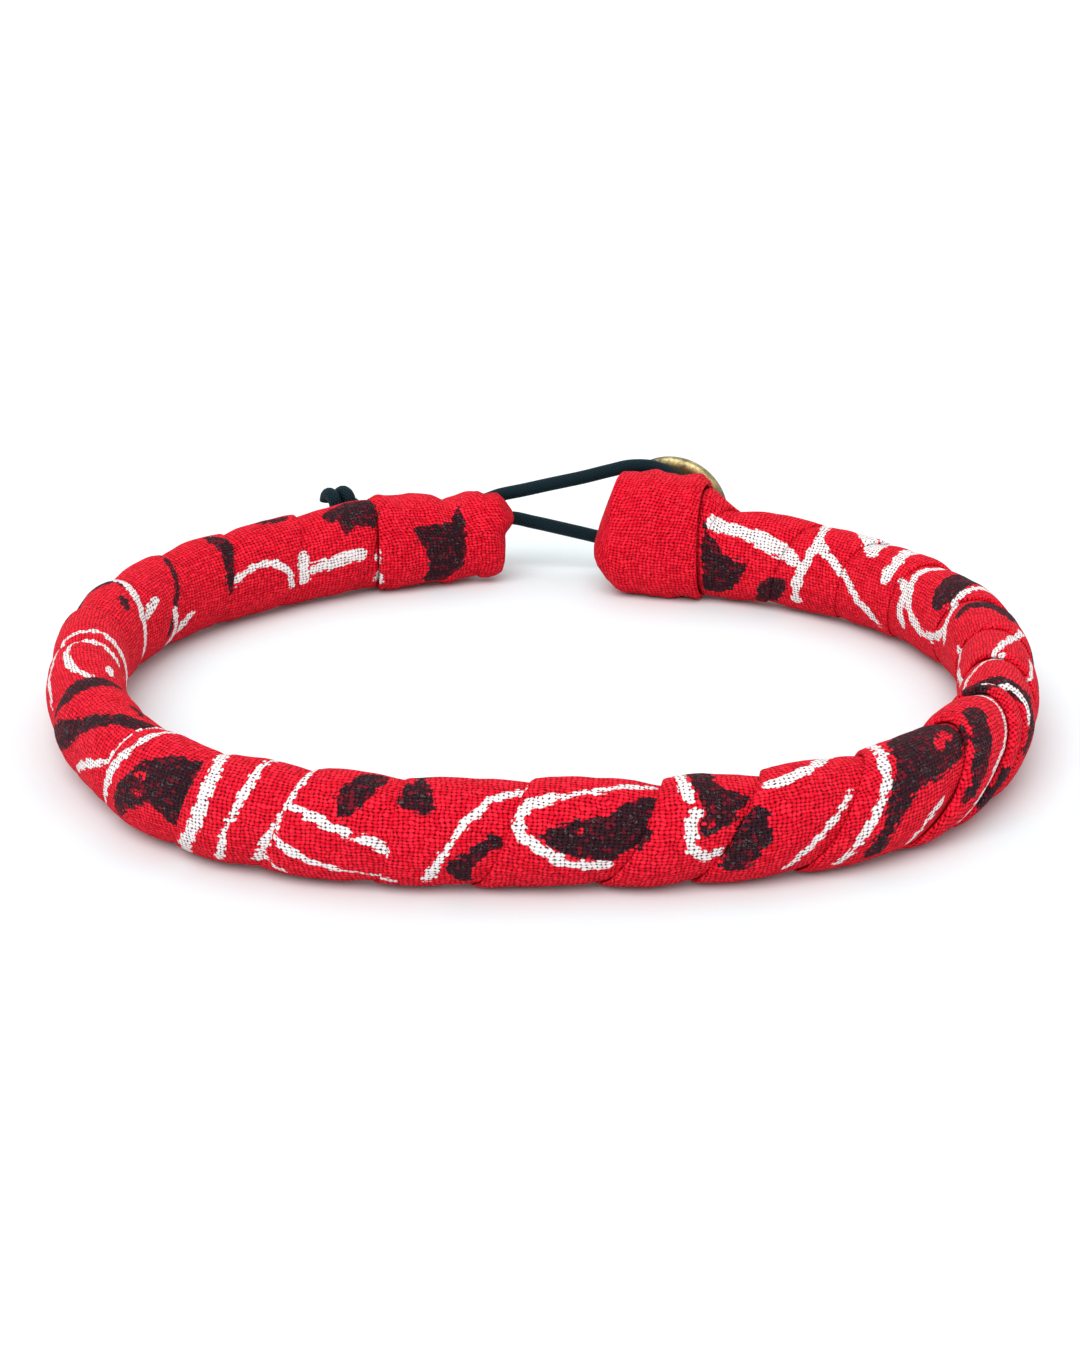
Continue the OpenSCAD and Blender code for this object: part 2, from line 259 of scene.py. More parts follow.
# Elastic: points that its middle passes through, from the loop end round the button's neck and back
ELASTIC_D = 1.1
ELASTIC_ROUTE = (
    (-4.5, 33.0, 4.3),
    (-2.3, 33.3, 4.4),
    (-0.5, 33.1, 4.1),
    (1.2, 32.8, 3.8),
    (4.9, 32.8, 2.9),
    (7.6, 32.3, 2.3),
    (9.5, 31.8, 1.9),
    (11.3, 31.2, 2.2),
    (12.7, 30.8, 3.4),
    (13.3, 30.5, 5.0),
    (12.7, 30.8, 6.8),
    (11.3, 31.2, 8.3),
    (9.5, 31.8, 9.1),
    (7.6, 32.3, 9.1),
    (5.8, 32.7, 8.6),
    (3.5, 33.1, 7.9),
    (1.0, 33.3, 7.3),
    (-1.2, 33.3, 6.8),
    (-3.2, 33.2, 6.4),
    (-4.5, 33.0, 6.0),
)
# Where both ends of the cord run on, inside the cloth of the wrap
ELASTIC_HIDDEN = ((-5.6, 32.8, 4.3), (-5.6, 32.8, 6.0))
# Sides of the cord's mesh, the direction that its first side starts from, strands round its braided
# cover, and the length of one stitch of it
CORD_SIDES = 16
CORD_UP = (0.1, 0.2, 1.0)
BRAID_STRANDS = 12
BRAID_MM = 0.30

# Knot on the outer face: its ring angle and section angle, how high its middle stands over the
# cloth, the radius and number of its turns, half their spread, how sharply it steps from turn to
# turn, its points, where its tail goes, and how far the tail runs on before it bends
KNOT_AT = -153.1
KNOT_ANGLE = 33
KNOT_LIFT = 1.5
KNOT_TURN_R = 0.72
KNOT_TURNS = 1.75
KNOT_SPREAD = 0.75
KNOT_STEP = 4
KNOT_POINTS = 60
KNOT_TAIL_TO = -155.7
KNOT_TAIL_LIFT = 1.1
KNOT_TAIL_ON = (0.35, 0.4)

# Button: the ring angle of its middle, its height, the face of the wrap there, the gap to its neck,
# its neck and its size, the last insets and the rise of its crown, the inset of its neck's end, how
# straight along the neck a flat end faces, the angle up to which its faces are shaded smooth, and its
# outline outwards: (share of the radius, distance past the neck)
BUTTON_AT = 162.0
BUTTON_Z = 5.0
WRAP_HALF_AT_BUTTON = 3.5
NECK_GAP = 0.3
NECK_D = 3.6
NECK_LENGTH = 1.9
BUTTON_D = 9.4
BUTTON_SIDES = 96
CROWN_INSET = 0.5
CROWN_RISE = 0.01
NECK_INSET = 0.1
END_FACING = 0.9
SMOOTH_UP_TO = 35
BUTTON_PROFILE = (
    (0.60, 0.02),
    (0.86, 0.00),
    (0.95, 0.06),
    (0.99, 0.20),
    (1.00, 0.40),
    (1.00, 0.75),
    (0.985, 0.98),
    (0.955, 1.10),
    (0.92, 1.12),
    (0.895, 1.02),
    (0.87, 0.98),
    (0.84, 1.06),
    (0.78, 1.22),
    (0.68, 1.44),
    (0.55, 1.68),
    (0.40, 1.90),
    (0.24, 2.08),
    (0.10, 2.17),
)

# Camera, in millimetres and degrees, the side of the floor in metres, and the light:
# (name, strength, softness, from, height)
CAMERA_PLACE = (0.09, -193.85, 71.01)
CAMERA_DOWN = 19.49
CAMERA_LENS = 76.27
CAMERA_SENSOR = 36
CAMERA_NEAREST = 10
FLOOR_SIDE = 8
WORLD_LIGHT = 0.9
LIGHTS = (
    ("key_light", 2.0, 50, -20, 50),
    ("back_light", 0.35, 60, 170, 50),
)

# Spacing of the cotton's threads. Those along the band lie closer together than those round it.
# The way round the band is measured this far over its plain section
THREAD_MM = 0.27
THREAD_SPREAD = (1.18, 0.95)
THREAD_LIFT = 0.2
# Relief of the weave, of the elastic's braid and of the brass, and the size of the brass's clouds
# and spots of tarnish, in millimetres
WEAVE_DEPTH = 0.09
BRAID_DEPTH = 0.06
PIT_DEPTH = 0.03
CLOUD_MM = 10 / 7
SPOT_MM = 0.25
# Print of the cotton. Places are (millimetres along the band from the front of the ring to the
# right, degrees round its section, with 0 outwards, 90 up and 180 inwards). White lines are
# (width, places), black shapes are closed, and red spots left in the black are (radius, place).
# The pitches are the millimetres in a degree of the ring and in a degree of the section, FAR is
# the distance kept where no print is near, and REACH is how far round a shape distances are worked out.
CHART_PITCH = 0.5676
ROUND_PITCH = 0.0565
FAR = 9.0
REACH = 1.2
WHITE_LINES = (
    (0.85, ((-21, 125), (-20.8, 105), (-20.1, 63), (-20.1, 40), (-20.4, 10), (-21, -10), (-21.9, -34),
           (-22.3, -50))),
    (0.48, ((-17.1, 118), (-17.2, 106), (-17.5, 75), (-17.6, 52), (-18, 28), (-18.4, 10), (-19, -10),
            (-19.7, -42))),
    (0.4, ((-13.8, 112), (-14.2, 90), (-14.6, 62), (-15, 42), (-15.5, 20), (-16, 2), (-16.7, -18))),
    (0.55, ((-15.9, 6), (-16.5, -12), (-17.2, -38))),
    (0.3, ((-16.6, -27), (-16.2, -36), (-15.5, -50))),
    (0.55, ((-14.8, 33), (-14.2, 30), (-12.9, 22), (-12.1, 15), (-11.3, 10))),
    (0.62, ((-10.6, 7), (-10.2, 6), (-9.3, -3))),
    (0.48, ((-15.8, 2), (-15.3, -6), (-14.5, -14), (-13.3, -24), (-12, -33))),
    (0.3, ((-11.9, -34), (-9.9, -42), (-8.9, -47))),
    (0.55, ((-0.9, 76), (-2, 66), (-3, 58), (-3.7, 44), (-4.7, 28), (-5.4, 9), (-6.1, -10), (-7, -42))),
    (0.45, ((7.6, 88), (4.5, 72), (2.2, 61), (1.2, 57))),
    (0.75, ((1, 56), (-0.4, 50), (-1.0, 42), (-1.3, 28), (-1.1, 15), (0, 4), (1.2, -8))),
    (0.65, ((1.1, -8), (2.6, -16), (4.4, -18))),
    (0.75, ((9, 118), (9, 90), (9.1, 66), (9.3, 52))),
    (0.65, ((9.5, 38), (9.2, 22), (9.3, 4), (9.8, -8), (10.4, -12), (10.9, -6))),
    (0.6, ((14, 63), (14.9, 64), (16.2, 72), (17.3, 81), (18.4, 97), (19.3, 112))),
    (0.44, ((19, 40), (18.6, 28), (17.9, 15), (17.2, 2), (16.4, -12), (15.8, -24), (15.1, -39))),
    (0.65, ((22.6, 125), (22.3, 108), (22, 90), (21.6, 64), (21.3, 44))),
    (0.5, ((21.5, 54), (21, 32), (20.4, 16), (20, 4), (19.4, -10), (18.9, -27), (18.2, -44))),
    (0.38, ((25.3, 4), (24.2, -8), (23.6, -22), (23, -40))),
    (0.55, ((34.6, 100), (34.8, 88), (34.8, 75), (34.5, 56), (34, 42), (33.3, 32), (32.2, 20), (31.1, 10),
            (30.1, 0), (29, -12), (28.1, -22), (27.2, -34))),
    (0.5, ((36.4, 92), (36.8, 82), (37.4, 69), (37.6, 54), (37.6, 46))),
    (0.24, ((37.6, 50), (37.6, 40), (37.4, 28), (36.9, 16))),
    (0.4, ((38.2, 134), (40, 128), (41.6, 117), (42.5, 106), (43.2, 96), (43.7, 84))),
    (0.5, ((43.2, 99), (44.8, 90), (47.5, 74))),
    (0.55, ((47.5, 74), (49, 62), (50.6, 50))),
    (0.45, ((45.3, 45), (44.1, 40), (42.9, 38))),
    (0.65, ((51.5, 160), (50.2, 165), (47.4, 168), (44.5, 166))),
    (0.65, ((57.9, 50), (58.4, 70), (57.9, 100), (57.5, 124), (57, 147), (57.2, 168), (58.9, 184),
            (60.7, 189), (62.6, 182), (63.8, 166))),
    (0.85, ((63.8, 166), (64.3, 147), (64.8, 126), (64.4, 104), (63.6, 88))),
    (1.0, ((65.8, 142), (64.9, 155), (65.1, 176), (64.6, 192))),
    (0.9, ((56.9, 155), (56.3, 172))),
    (1.25, ((67.8, 144), (67.5, 124), (67.8, 100), (68, 81))),
    (1.5, ((74.3, 58), (72.7, 84), (71.3, 104))),
    (1.2, ((70.6, 118), (70.8, 100), (71.1, 75), (71.6, 58))),
    (0.9, ((77.8, 216), (77.6, 190), (76.9, 166), (76.3, 141), (75.9, 129))),
    (0.7, ((75.9, 129), (74.4, 147), (72.4, 166), (71.2, 182), (69.7, 196), (68.4, 214))),
    (0.85, ((76.1, 126), (76.3, 104), (77, 70))),
    (1.25, ((86, 137), (85.1, 133), (83.6, 135), (81.5, 144), (79.3, 152), (78, 159))),
    (0.55, ((-27.4, 125), (-26.1, 112), (-26, 88), (-26.3, 75), (-26.5, 57), (-26.9, 42))),
    (0.75, ((-26.9, 42), (-27.6, 27), (-28.2, 10), (-28.9, -6), (-29.9, -28))),
    (0.5, ((-28.1, 125), (-28.1, 104), (-28.1, 84), (-28.3, 57), (-28.6, 42), (-28.8, 30), (-29.4, 20),
            (-30.5, 12), (-32, 2), (-34, -16))),
    (0.5, ((-41.2, 16), (-42.3, 24), (-43.6, 32), (-45.3, 44), (-46.7, 51), (-48.2, 62), (-48.5, 72),
           (-48.6, 90), (-48.9, 112), (-49, 126), (-49, 140))),
    (0.9, ((-48.8, 128), (-48.6, 146), (-48.5, 165), (-48.3, 192))),
    (0.55, ((-39.4, 92), (-40, 86), (-41.3, 76), (-43, 70), (-44.4, 71), (-45.8, 77), (-46.7, 87),
            (-47, 98), (-47, 111), (-46.9, 123), (-46.6, 136), (-46.4, 147))),
    (0.5, ((-46.4, 147), (-45.6, 156), (-44.4, 166))),
    (0.6, ((-41.8, 127), (-40.2, 122))),
    (1.0, ((-60.7, 72), (-60.1, 102), (-59.2, 128), (-58.4, 150), (-58.2, 166), (-58, 195))),
    (0.7, ((-61.7, 152), (-60.6, 156), (-59.2, 160))),
    (0.8, ((-64.2, 176), (-64.5, 202), (-64.2, 222))),
    (0.7, ((-67, 190), (-66.3, 199), (-65.2, 212))),
    (0.55, ((-72.8, 172), (-74.1, 163), (-76.1, 160), (-77.6, 168), (-78.5, 182), (-78.9, 200))),
    (1.1, ((-80, 166), (-80, 178), (-80.1, 193))),
    (0.85, ((-80.8, 183), (-82.6, 180), (-84.4, 174), (-85.8, 176))),
    (0.35, ((-87.2, 178), (-87.3, 186))),
    (0.6, ((-87.6, 210), (-87.6, 222))),
    (0.6, ((-69, 62), (-70.5, 35), (-73, 8), (-76, -8), (-79, 0), (-80.5, 24))),
    (0.5, ((-62, 30), (-64, 0), (-65, -40))),
    (0.6, ((-53, 30), (-55, 5), (-58, -10))),
    (0.6, ((64, 40), (66, 10), (70, -8), (74, -2), (77, 20), (77.5, 50))),
    (0.6, ((83.5, 60), (82.5, 20), (80, -20), (79, -55))),
    (0.6, ((-31, 152), (-29, 180), (-26, 196), (-22.5, 190), (-21, 165), (-21, 145))),
    (0.5, ((-11, 140), (-9, 175), (-8, 215))),
    (0.6, ((3, 150), (6, 172), (11, 182), (15, 168), (16.5, 145))),
    (0.5, ((24, 145), (26, 180), (27, 225))),
)
BLACK_SHAPES = (
    ((-95.3, 200), (-93, 235), (-91.8, 225), (-92, 190), (-91, 168), (-90.9, 152), (-93.3, 150),
     (-94.6, 134), (-95, 115), (-95.4, 140)),
    ((-25.1, 44), (-24.3, 57), (-23.5, 66), (-22.4, 70), (-21.4, 76), (-21.1, 60), (-21.2, 42),
     (-21.6, 22), (-22, 4), (-22.6, -18), (-23.3, -6), (-23.9, 0), (-24.8, -3), (-26, -12), (-27.6, -32),
     (-27.8, -16), (-27.2, 0), (-26.7, 14), (-26, 28)),
    ((-11.8, 14), (-12.2, 39), (-12.1, 57), (-11.5, 72), (-10.8, 90), (-9.5, 100), (-9.4, 84),
     (-9.9, 66), (-10.2, 51), (-10.8, 40), (-11.4, 27)),
    ((-7.6, 112), (-7.1, 112), (-6.9, 80), (-6.6, 51), (-6.7, 38), (-7.8, 38), (-8.6, 46), (-8.5, 66),
     (-7.9, 84)),
    ((-2.8, 16), (-3.5, 14), (-4.2, 4), (-4.7, -5), (-5.5, -9), (-5.9, -18), (-5.6, -32), (-4.8, -50),
     (-4.2, -44), (-4.4, -22), (-3.7, -10), (-3, -3), (-2.3, 6)),
    ((0, 15), (1.1, 24), (2.8, 32), (4.5, 40), (5.7, 54), (7.2, 64), (7.2, 48), (6.7, 30), (7, 20),
     (6.6, 4), (5.8, -1), (5.1, -9), (4.7, -14), (3.5, -10), (2.8, -5), (1.7, -3), (0.8, 4)),
    ((9.5, 116), (11.2, 114), (11, 76), (11.9, 64), (12.9, 54), (12.5, 38), (11.8, 26), (11, 20),
     (10.6, 15), (10, 17), (9.7, 26), (10.4, 31), (10.4, 42), (9.8, 46), (9.7, 66)),
    ((13.2, 38), (13.9, 30), (14, 5), (13.4, -9), (12.9, -18), (11.9, -32), (11, -26), (11.1, -12),
     (11.5, 0), (12, 16), (12.6, 29)),
    ((22.9, 92), (24.5, 110), (26.4, 124), (28.3, 118), (29.2, 98), (29.2, 80), (28.9, 62), (28.5, 50),
     (27.6, 40), (26.3, 33), (24.7, 26), (22.8, 20), (22, 4), (21.3, -16), (20.9, -42), (19.8, -38),
     (20.3, -15), (21, 20), (21.5, 36), (22.2, 56), (22.5, 74)),
    ((30.9, 87), (31.3, 82), (31.6, 69), (31.1, 52), (30.5, 38), (29.9, 26), (29, 14), (28.1, 2),
     (27.1, -11), (26.6, -4), (27.2, 5), (27.7, 18), (28.2, 33), (28.8, 48), (29.5, 62), (30.1, 78)),
    ((33.5, 114), (36.5, 123), (37.5, 112), (37.9, 98), (38.3, 84), (38.4, 69), (38.6, 52), (39, 36),
     (38.2, 26), (37.2, 42), (36.9, 57), (36.5, 69), (36, 82), (35.3, 88), (34.8, 96), (34.2, 105)),
    ((37.3, 30), (38.1, 22), (38, 4), (36.9, -8), (35.2, -12), (35.5, -2), (36.7, 8), (37, 18)),
    ((32.4, -2), (31.6, -4), (30.8, -14), (29.2, -22), (29.4, -36), (30.8, -36), (32.3, -28), (33.2, -14)),
    ((53, 46), (52.2, 34), (50.4, 26), (48, 21), (44.6, 18), (44, 8), (48, 8), (51, 14), (53, 24),
     (54.2, 38)),
    ((55.4, 142), (55.8, 129), (56.1, 117), (55.9, 98), (55.9, 80), (55.5, 62), (54.6, 48), (53.2, 40),
     (51.6, 62), (52.4, 76), (53.5, 90), (54.3, 105), (54.8, 120), (54.9, 135)),
    ((59.9, 152), (60.7, 136), (61.3, 110), (62, 82), (61.6, 62), (59.6, 58), (58.8, 87), (58, 112),
     (57.9, 130), (58.6, 146)),
    ((86.9, 138), (86.7, 146), (86, 153), (85.1, 166), (82.7, 178), (83.2, 194), (84.4, 219), (86, 232),
     (86.8, 230), (86.9, 190)),
    ((80.3, 187), (78.7, 192), (79.2, 212), (80.4, 236), (82.2, 240), (81.7, 215), (81.3, 200)),
    ((-28.3, 108), (-29.4, 100), (-30.7, 89), (-31.9, 72), (-33.6, 54), (-35.1, 39), (-37, 22),
     (-38.6, 10), (-39.6, -6), (-38.6, -18), (-36.8, -9), (-35.3, 4), (-33.9, 21), (-32.4, 39),
     (-31.1, 54), (-30.1, 67), (-28.9, 76), (-28.2, 88)),
    ((-39.4, 36), (-39.6, 51), (-39.7, 64), (-39.5, 80), (-39.3, 93), (-39, 105), (-38.5, 117), (-37, 126),
     (-36.6, 114), (-36.6, 99), (-36.6, 86), (-36.7, 70), (-37, 57), (-37.3, 42), (-38.4, 22),
     (-39.2, 4), (-40, 8), (-39.2, 24)),
    ((-33.2, 122), (-33, 108), (-31.5, 105), (-30.1, 101), (-30.2, 108), (-31.6, 117)),
    ((-58, 48), (-57.5, 58), (-55.6, 65), (-53.8, 64), (-52.8, 56), (-54, 50)),
    ((-58.2, 50), (-59.9, 56), (-60.6, 76), (-60, 104), (-59.2, 128), (-59.1, 112), (-59.2, 88),
     (-58.2, 72)),
    ((-57.3, 114), (-57.6, 122), (-57.3, 134), (-56.4, 140), (-56.2, 130), (-56.6, 118)),
    ((-67.1, 86), (-66.9, 104), (-66.1, 132), (-65.4, 158), (-64.4, 178), (-63.5, 204), (-63.2, 196),
     (-63.9, 172), (-65, 148), (-65.7, 126), (-66.6, 96)),
    ((-72, 84), (-73.4, 100), (-73.8, 118), (-72.9, 153), (-72.2, 186), (-71.6, 176), (-71.6, 158),
     (-72, 132), (-71.8, 105)),
    ((-77, 78), (-78.5, 84), (-80, 82), (-80.5, 94), (-79, 99), (-77.4, 93)),
    ((-83, 112), (-84.4, 92), (-86.6, 84), (-88, 84), (-87.6, 135), (-86.8, 144), (-85.5, 135),
     (-84.4, 150), (-84, 126)),
    ((-74.5, 44), (-76, 22), (-78, 16), (-79, 34), (-77, 52)),
    ((68, 48), (69.5, 20), (73, 12), (75, 30), (72, 52)),
    ((8, 152), (10, 170), (13.5, 164), (14, 148), (11, 140)),
    ((-28.5, 158), (-26.5, 182), (-23.5, 180), (-23.3, 158), (-25.5, 145)),
)
RED_SPOTS = (
    (0.20, (2.6, 20)),
    (0.25, (10.4, 23)),
    (0.28, (12.1, 33)),
    (0.50, (26.3, 64)),
    (0.55, (27.3, 73)),
    (0.25, (-24.9, 28)),
    (0.22, (-25.2, 8)),
)


def linear(hex_colour):
    """Turns an sRGB hex colour into the linear values that shaders take."""
    parts = [int(hex_colour[k : k + 2], 16) / 255 for k in (0, 2, 4)]
    return tuple(c / 12.92 if c <= 0.04045 else ((c + 0.055) / 1.055) ** 2.4 for c in parts)


def size_property(name, description, mm):
    """A length that the panel shows, from its millimetres."""
    return bpy.props.FloatProperty(
        name=name, description=description, default=mm * MM, unit="LENGTH", subtype="DISTANCE", precision=5)


def colour_property(name, description, hex_colour):
    """A colour that the panel shows."""
    return bpy.props.FloatVectorProperty(
        name=name, description=description, default=linear(hex_colour), subtype="COLOR", min=0, max=1)


def spline(a, b, c, d, f):
    """A share f of the way from b to c on a smooth curve through a, b, c and d."""
    return b + f * ((c - a) / 2 + f * ((2 * a - 5 * b + 4 * c - d) / 2 + f * (3 * b - a - 3 * c + d) / 2))


def row_value(rows, column, place):
    """Smooth value of a column of a table at places counted in rows."""
    values = np.array([row[column] for row in rows])
    last = len(values) - 1
    i = np.clip(np.floor(place), 0, last - 1).astype(int)
    around = (values[np.maximum(0, i - 1)], values[i], values[i + 1], values[np.minimum(last, i + 2)])
    return spline(*around, place - i)


def ring_xy(t):
    """Middle line of the band over the floor at ring angles t."""
    r = RING_R + row_value(RING_ROWS, 0, (t + 180) / RING_PITCH)
    return r * np.sin(np.radians(t)), -r * np.cos(np.radians(t)) - RING_FORWARD


def outward(t):
    """Direction away from the wrist at ring angles t."""
    ax, ay = ring_xy(t + 0.5)
    bx, by = ring_xy(t - 0.5)
    n = np.hypot(ax - bx, ay - by)
    return (ay - by) / n, -(ax - bx) / n


def half_height(t):
    """Half the height of the band at ring angles t."""
    return BAND_H / 2 + row_value(RING_ROWS, 1, (t + 180) / RING_PITCH)


def rounded(x, square):
    """A cosine or sine made squarer, for a section between an ellipse and a box."""
    return np.sign(x) * np.abs(x) ** (2 / square)


def section_point(t, a, half_w, half_h, mid_z, shift, square):
    """Points on sections at ring angles t and section angles a, kept above the floor."""
    cx, cy = ring_xy(t)
    nx, ny = outward(t)
    x = shift + half_w * rounded(np.cos(np.radians(a)), square)
    z = mid_z + half_h * rounded(np.sin(np.radians(a)), square)
    return np.stack([cx + nx * x, cy + ny * x, np.maximum(0, z)], axis=-1)


def band_point(t, a, lift):
    """Points on the band's cloth, lifted off the plain section."""
    h = half_height(t)
    swell_t, swell_more = zip(*SWELL_ROWS)
    swell = np.where(np.sin(np.radians(a)) > 0, np.interp(t, swell_t, swell_more), 0)
    return section_point(t, a, BAND_W / 2 + lift, h + lift + swell, h, 0, BAND_SQUARE)


def smooth_step(low, high, x):
    """Rises smoothly from 0 to 1 between low and high."""
    f = np.clip((x - low) / (high - low), 0, 1)
    return f * f * (3 - 2 * f)


def lap_curves():
    """Ring angle of the folded edge, its boldness and the turn of the threads, after each step
    round the band."""
    side, top = (STEPS * (angle - FOOT_ANGLE) / 360 for angle in (SIDE_ANGLE, TOP_ANGLE))
    places, angles, bold, grain = [], [], [], []
    for k, (foot, beside, over, stand, turned) in enumerate(LAPS):
        places += [k * STEPS, k * STEPS + side, k * STEPS + top]
        angles += [foot, beside, over]
        bold += [stand] * 3
        grain += [turned] * 3
    steps = np.arange(len(LAPS) * STEPS + STEPS // 2)
    window = np.hanning(EDGE_BLEND)
    window /= window.sum()
    pad = len(window) // 2
    edge = np.interp(steps, places, angles)
    edge = np.convolve(np.pad(edge, pad, mode="edge"), window, mode="same")[pad:-pad]
    return edge, np.interp(steps, places, bold), np.interp(steps, places, grain)


def new_mesh(name, points, faces):
    """A smooth mesh object at the origin from points in millimetres."""
    mesh = bpy.data.meshes.new(name)
    mesh.from_pydata((np.asarray(points) * MM).tolist(), [], [tuple(f) for f in faces])
    mesh.validate()
    mesh.shade_smooth()
    piece = bpy.data.objects.new(name, mesh)
    bpy.context.scene.collection.objects.link(piece)
    return piece


def ring_faces(rows, columns):
    """Quads between rows of points, each row a closed ring of columns, and a cap on either end."""
    faces = []
    for i in range(rows - 1):
        for j in range(columns):
            q = (j + 1) % columns
            faces.append((i * columns + j, (i + 1) * columns + j, (i + 1) * columns + q, i * columns + q))
    last = (rows - 1) * columns
    return faces + [tuple(range(columns)), tuple(last + j for j in range(columns - 1, -1, -1))]


def curved(points, closed, parts=5):
    """A smooth line through given points, as a finer list."""
    p = np.array(points, float)
    n = len(p)
    if closed:
        at = lambda k: p[k % n]
        spans = n
    else:
        at = lambda k: p[min(max(k, 0), n - 1)]
        spans = n - 1
    out = []
    for k in range(spans):
        out += [spline(at(k - 1), at(k), at(k + 1), at(k + 2), f) for f in np.arange(parts) / parts]
    if not closed:
        out.append(p[-1])
    return np.array(out)


def chart_mm(points):
    """Chart places turned to millimetres along and round the band."""
    return [(s, a * ROUND_PITCH) for s, a in points]


def line_distance(q, line):
    """Distance of points q from a line, its side, and whether the nearest place is inside it."""
    best = np.full(len(q), 1e9)
    side = np.ones(len(q))
    inner = np.zeros(len(q), bool)
    for k in range(len(line) - 1):
        a, d = line[k], line[k + 1] - line[k]
        length = max(1e-6, float(d @ d))
        f = (q - a) @ d / length
        g = np.clip(f, 0, 1)
        off = q - a - g[:, None] * d
        dist = np.hypot(off[:, 0], off[:, 1])
        near = dist < best
        best = np.where(near, dist, best)
        side = np.where(near, np.sign(d[0] * off[:, 1] - d[1] * off[:, 0]), side)
        inside = ((f >= 0) | (k > 0)) & ((f <= 1) | (k < len(line) - 2))
        inner = np.where(near, inside, inner)
    return best, np.where(side == 0, 1, side), inner


def shape_distance(q, shape):
    """Distance of points q from the edge of a closed shape, below zero inside it."""
    best = np.full(len(q), 1e9)
    inside = np.zeros(len(q), bool)
    for k in range(len(shape)):
        a, b = shape[k], shape[(k + 1) % len(shape)]
        d = b - a
        f = np.clip((q - a) @ d / max(1e-9, float(d @ d)), 0, 1)
        off = q - a - f[:, None] * d
        best = np.minimum(best, np.hypot(off[:, 0], off[:, 1]))
        crosses = (a[1] > q[:, 1]) != (b[1] > q[:, 1])
        rise = b[1] - a[1] if abs(b[1] - a[1]) > 1e-9 else 1e-9
        at_x = a[0] + (q[:, 1] - a[1]) * d[0] / rise
        inside ^= crosses & (q[:, 0] < at_x)
    return np.where(inside, -best, best)


def print_cotton(piece, spots):
    """Writes the print on a piece of cotton. spots are its points' chart places in millimetres.
    Each face keeps the two white lines nearest to it, as distances across them at its corners, so
    that a thin line stays sharp between the points of the mesh."""
    mesh = piece.data
    starts = np.zeros(len(mesh.polygons), np.int32)
    sizes = np.zeros(len(mesh.polygons), np.int32)
    mesh.polygons.foreach_get("loop_start", starts)
    mesh.polygons.foreach_get("loop_total", sizes)
    owner = np.repeat(np.arange(len(starts)), sizes)
    corner = spots[corner_index(piece)]
    middle = np.add.reduceat(corner, starts, axis=0) / sizes[:, None]
    near = np.full((2, len(starts)), FAR)
    which = np.full((2, len(starts)), -1)
    lines = [(w, curved(chart_mm(p), False)) for w, p in WHITE_LINES]
    for k, (width, line) in enumerate(lines):
        low, high = line.min(axis=0) - REACH, line.max(axis=0) + REACH
        here = np.flatnonzero(((middle > low) & (middle < high)).all(axis=1))
        if not len(here):
            continue
        dist = line_distance(middle[here], line)[0] - width / 2
        first = dist < near[0, here]
        second = ~first & (dist < near[1, here])
        f, g = here[first], here[second]
        near[1, f], which[1, f] = near[0, f], which[0, f]
        near[0, f], which[0, f] = dist[first], k
        near[1, g], which[1, g] = dist[second], k
    for layer, name in enumerate(("white_a", "white_b")):
        values = np.zeros((len(corner), 3), np.float32)
        values[:, 0] = FAR
        for k, (width, line) in enumerate(lines):
            mine = np.flatnonzero(which[layer, owner] == k)
            if not len(mine):
                continue
            dist, side, inner = line_distance(corner[mine], line)
            whole = line_distance(middle[owner[mine]], line)[2]
            values[mine, 0] = np.where(whole, dist * side, dist)
            values[mine, 1] = width / 2
        mesh.attributes.new(name, "FLOAT_VECTOR", "CORNER").data.foreach_set("vector", values.ravel())
    black = np.full(len(spots), FAR)
    for shape in BLACK_SHAPES:
        shape = curved(chart_mm(shape), True)
        low, high = shape.min(axis=0) - REACH, shape.max(axis=0) + REACH
        here = np.flatnonzero(((spots > low) & (spots < high)).all(axis=1))
        black[here] = np.minimum(black[here], shape_distance(spots[here], shape))
    for radius, place in RED_SPOTS:
        place = np.array(chart_mm([place])[0])
        black = np.maximum(black, radius - np.hypot(*(spots - place).T))
    mesh.attributes.new("black", "FLOAT", "POINT").data.foreach_set("value", black.astype(np.float32))


def wrinkle(along, around, size):
    """Low creases pulled into the cloth, mostly in line with the folded edges."""
    total = np.zeros(np.broadcast(along, around).shape)
    far, often, shift = WAVE_BEND
    for k, (p, q, share) in enumerate(WAVES):
        bend = far * np.sin(often * around + shift * k)
        total += share * np.sin(p * along + q * around + bend + WAVE_SHIFT * k)
    return size * total


def add_uv(piece, name, values):
    """A UV map from one pair of values for each corner."""
    layer = piece.data.uv_layers.new(name=name)
    layer.data.foreach_set("uv", np.asarray(values, np.float32).ravel())


def corner_index(piece):
    """The point that each corner of a piece's faces belongs to."""
    index = np.zeros(len(piece.data.loops), np.int32)
    piece.data.loops.foreach_get("vertex_index", index)
    return index


def node(tree, kind, *values, **settings):
    """Adds a node to a tree. kind may name its operation too. Its inputs are given in order, or as
    one dictionary, and each takes a plain value, a socket, or a node for that node's first output."""
    kind, _, operation = kind.partition(" ")
    made = tree.nodes.new("ShaderNode" + kind)
    if operation:
        made.operation = operation
    for key, value in settings.items():
        setattr(made, key, value)
    by_name = values and isinstance(values[0], dict)
    for key, value in values[0].items() if by_name else enumerate(values):
        if isinstance(value, bpy.types.Node):
            value = value.outputs[0]
        if isinstance(value, bpy.types.NodeSocket):
            tree.links.new(value, made.inputs[key])
        else:
            made.inputs[key].default_value = value
    return made


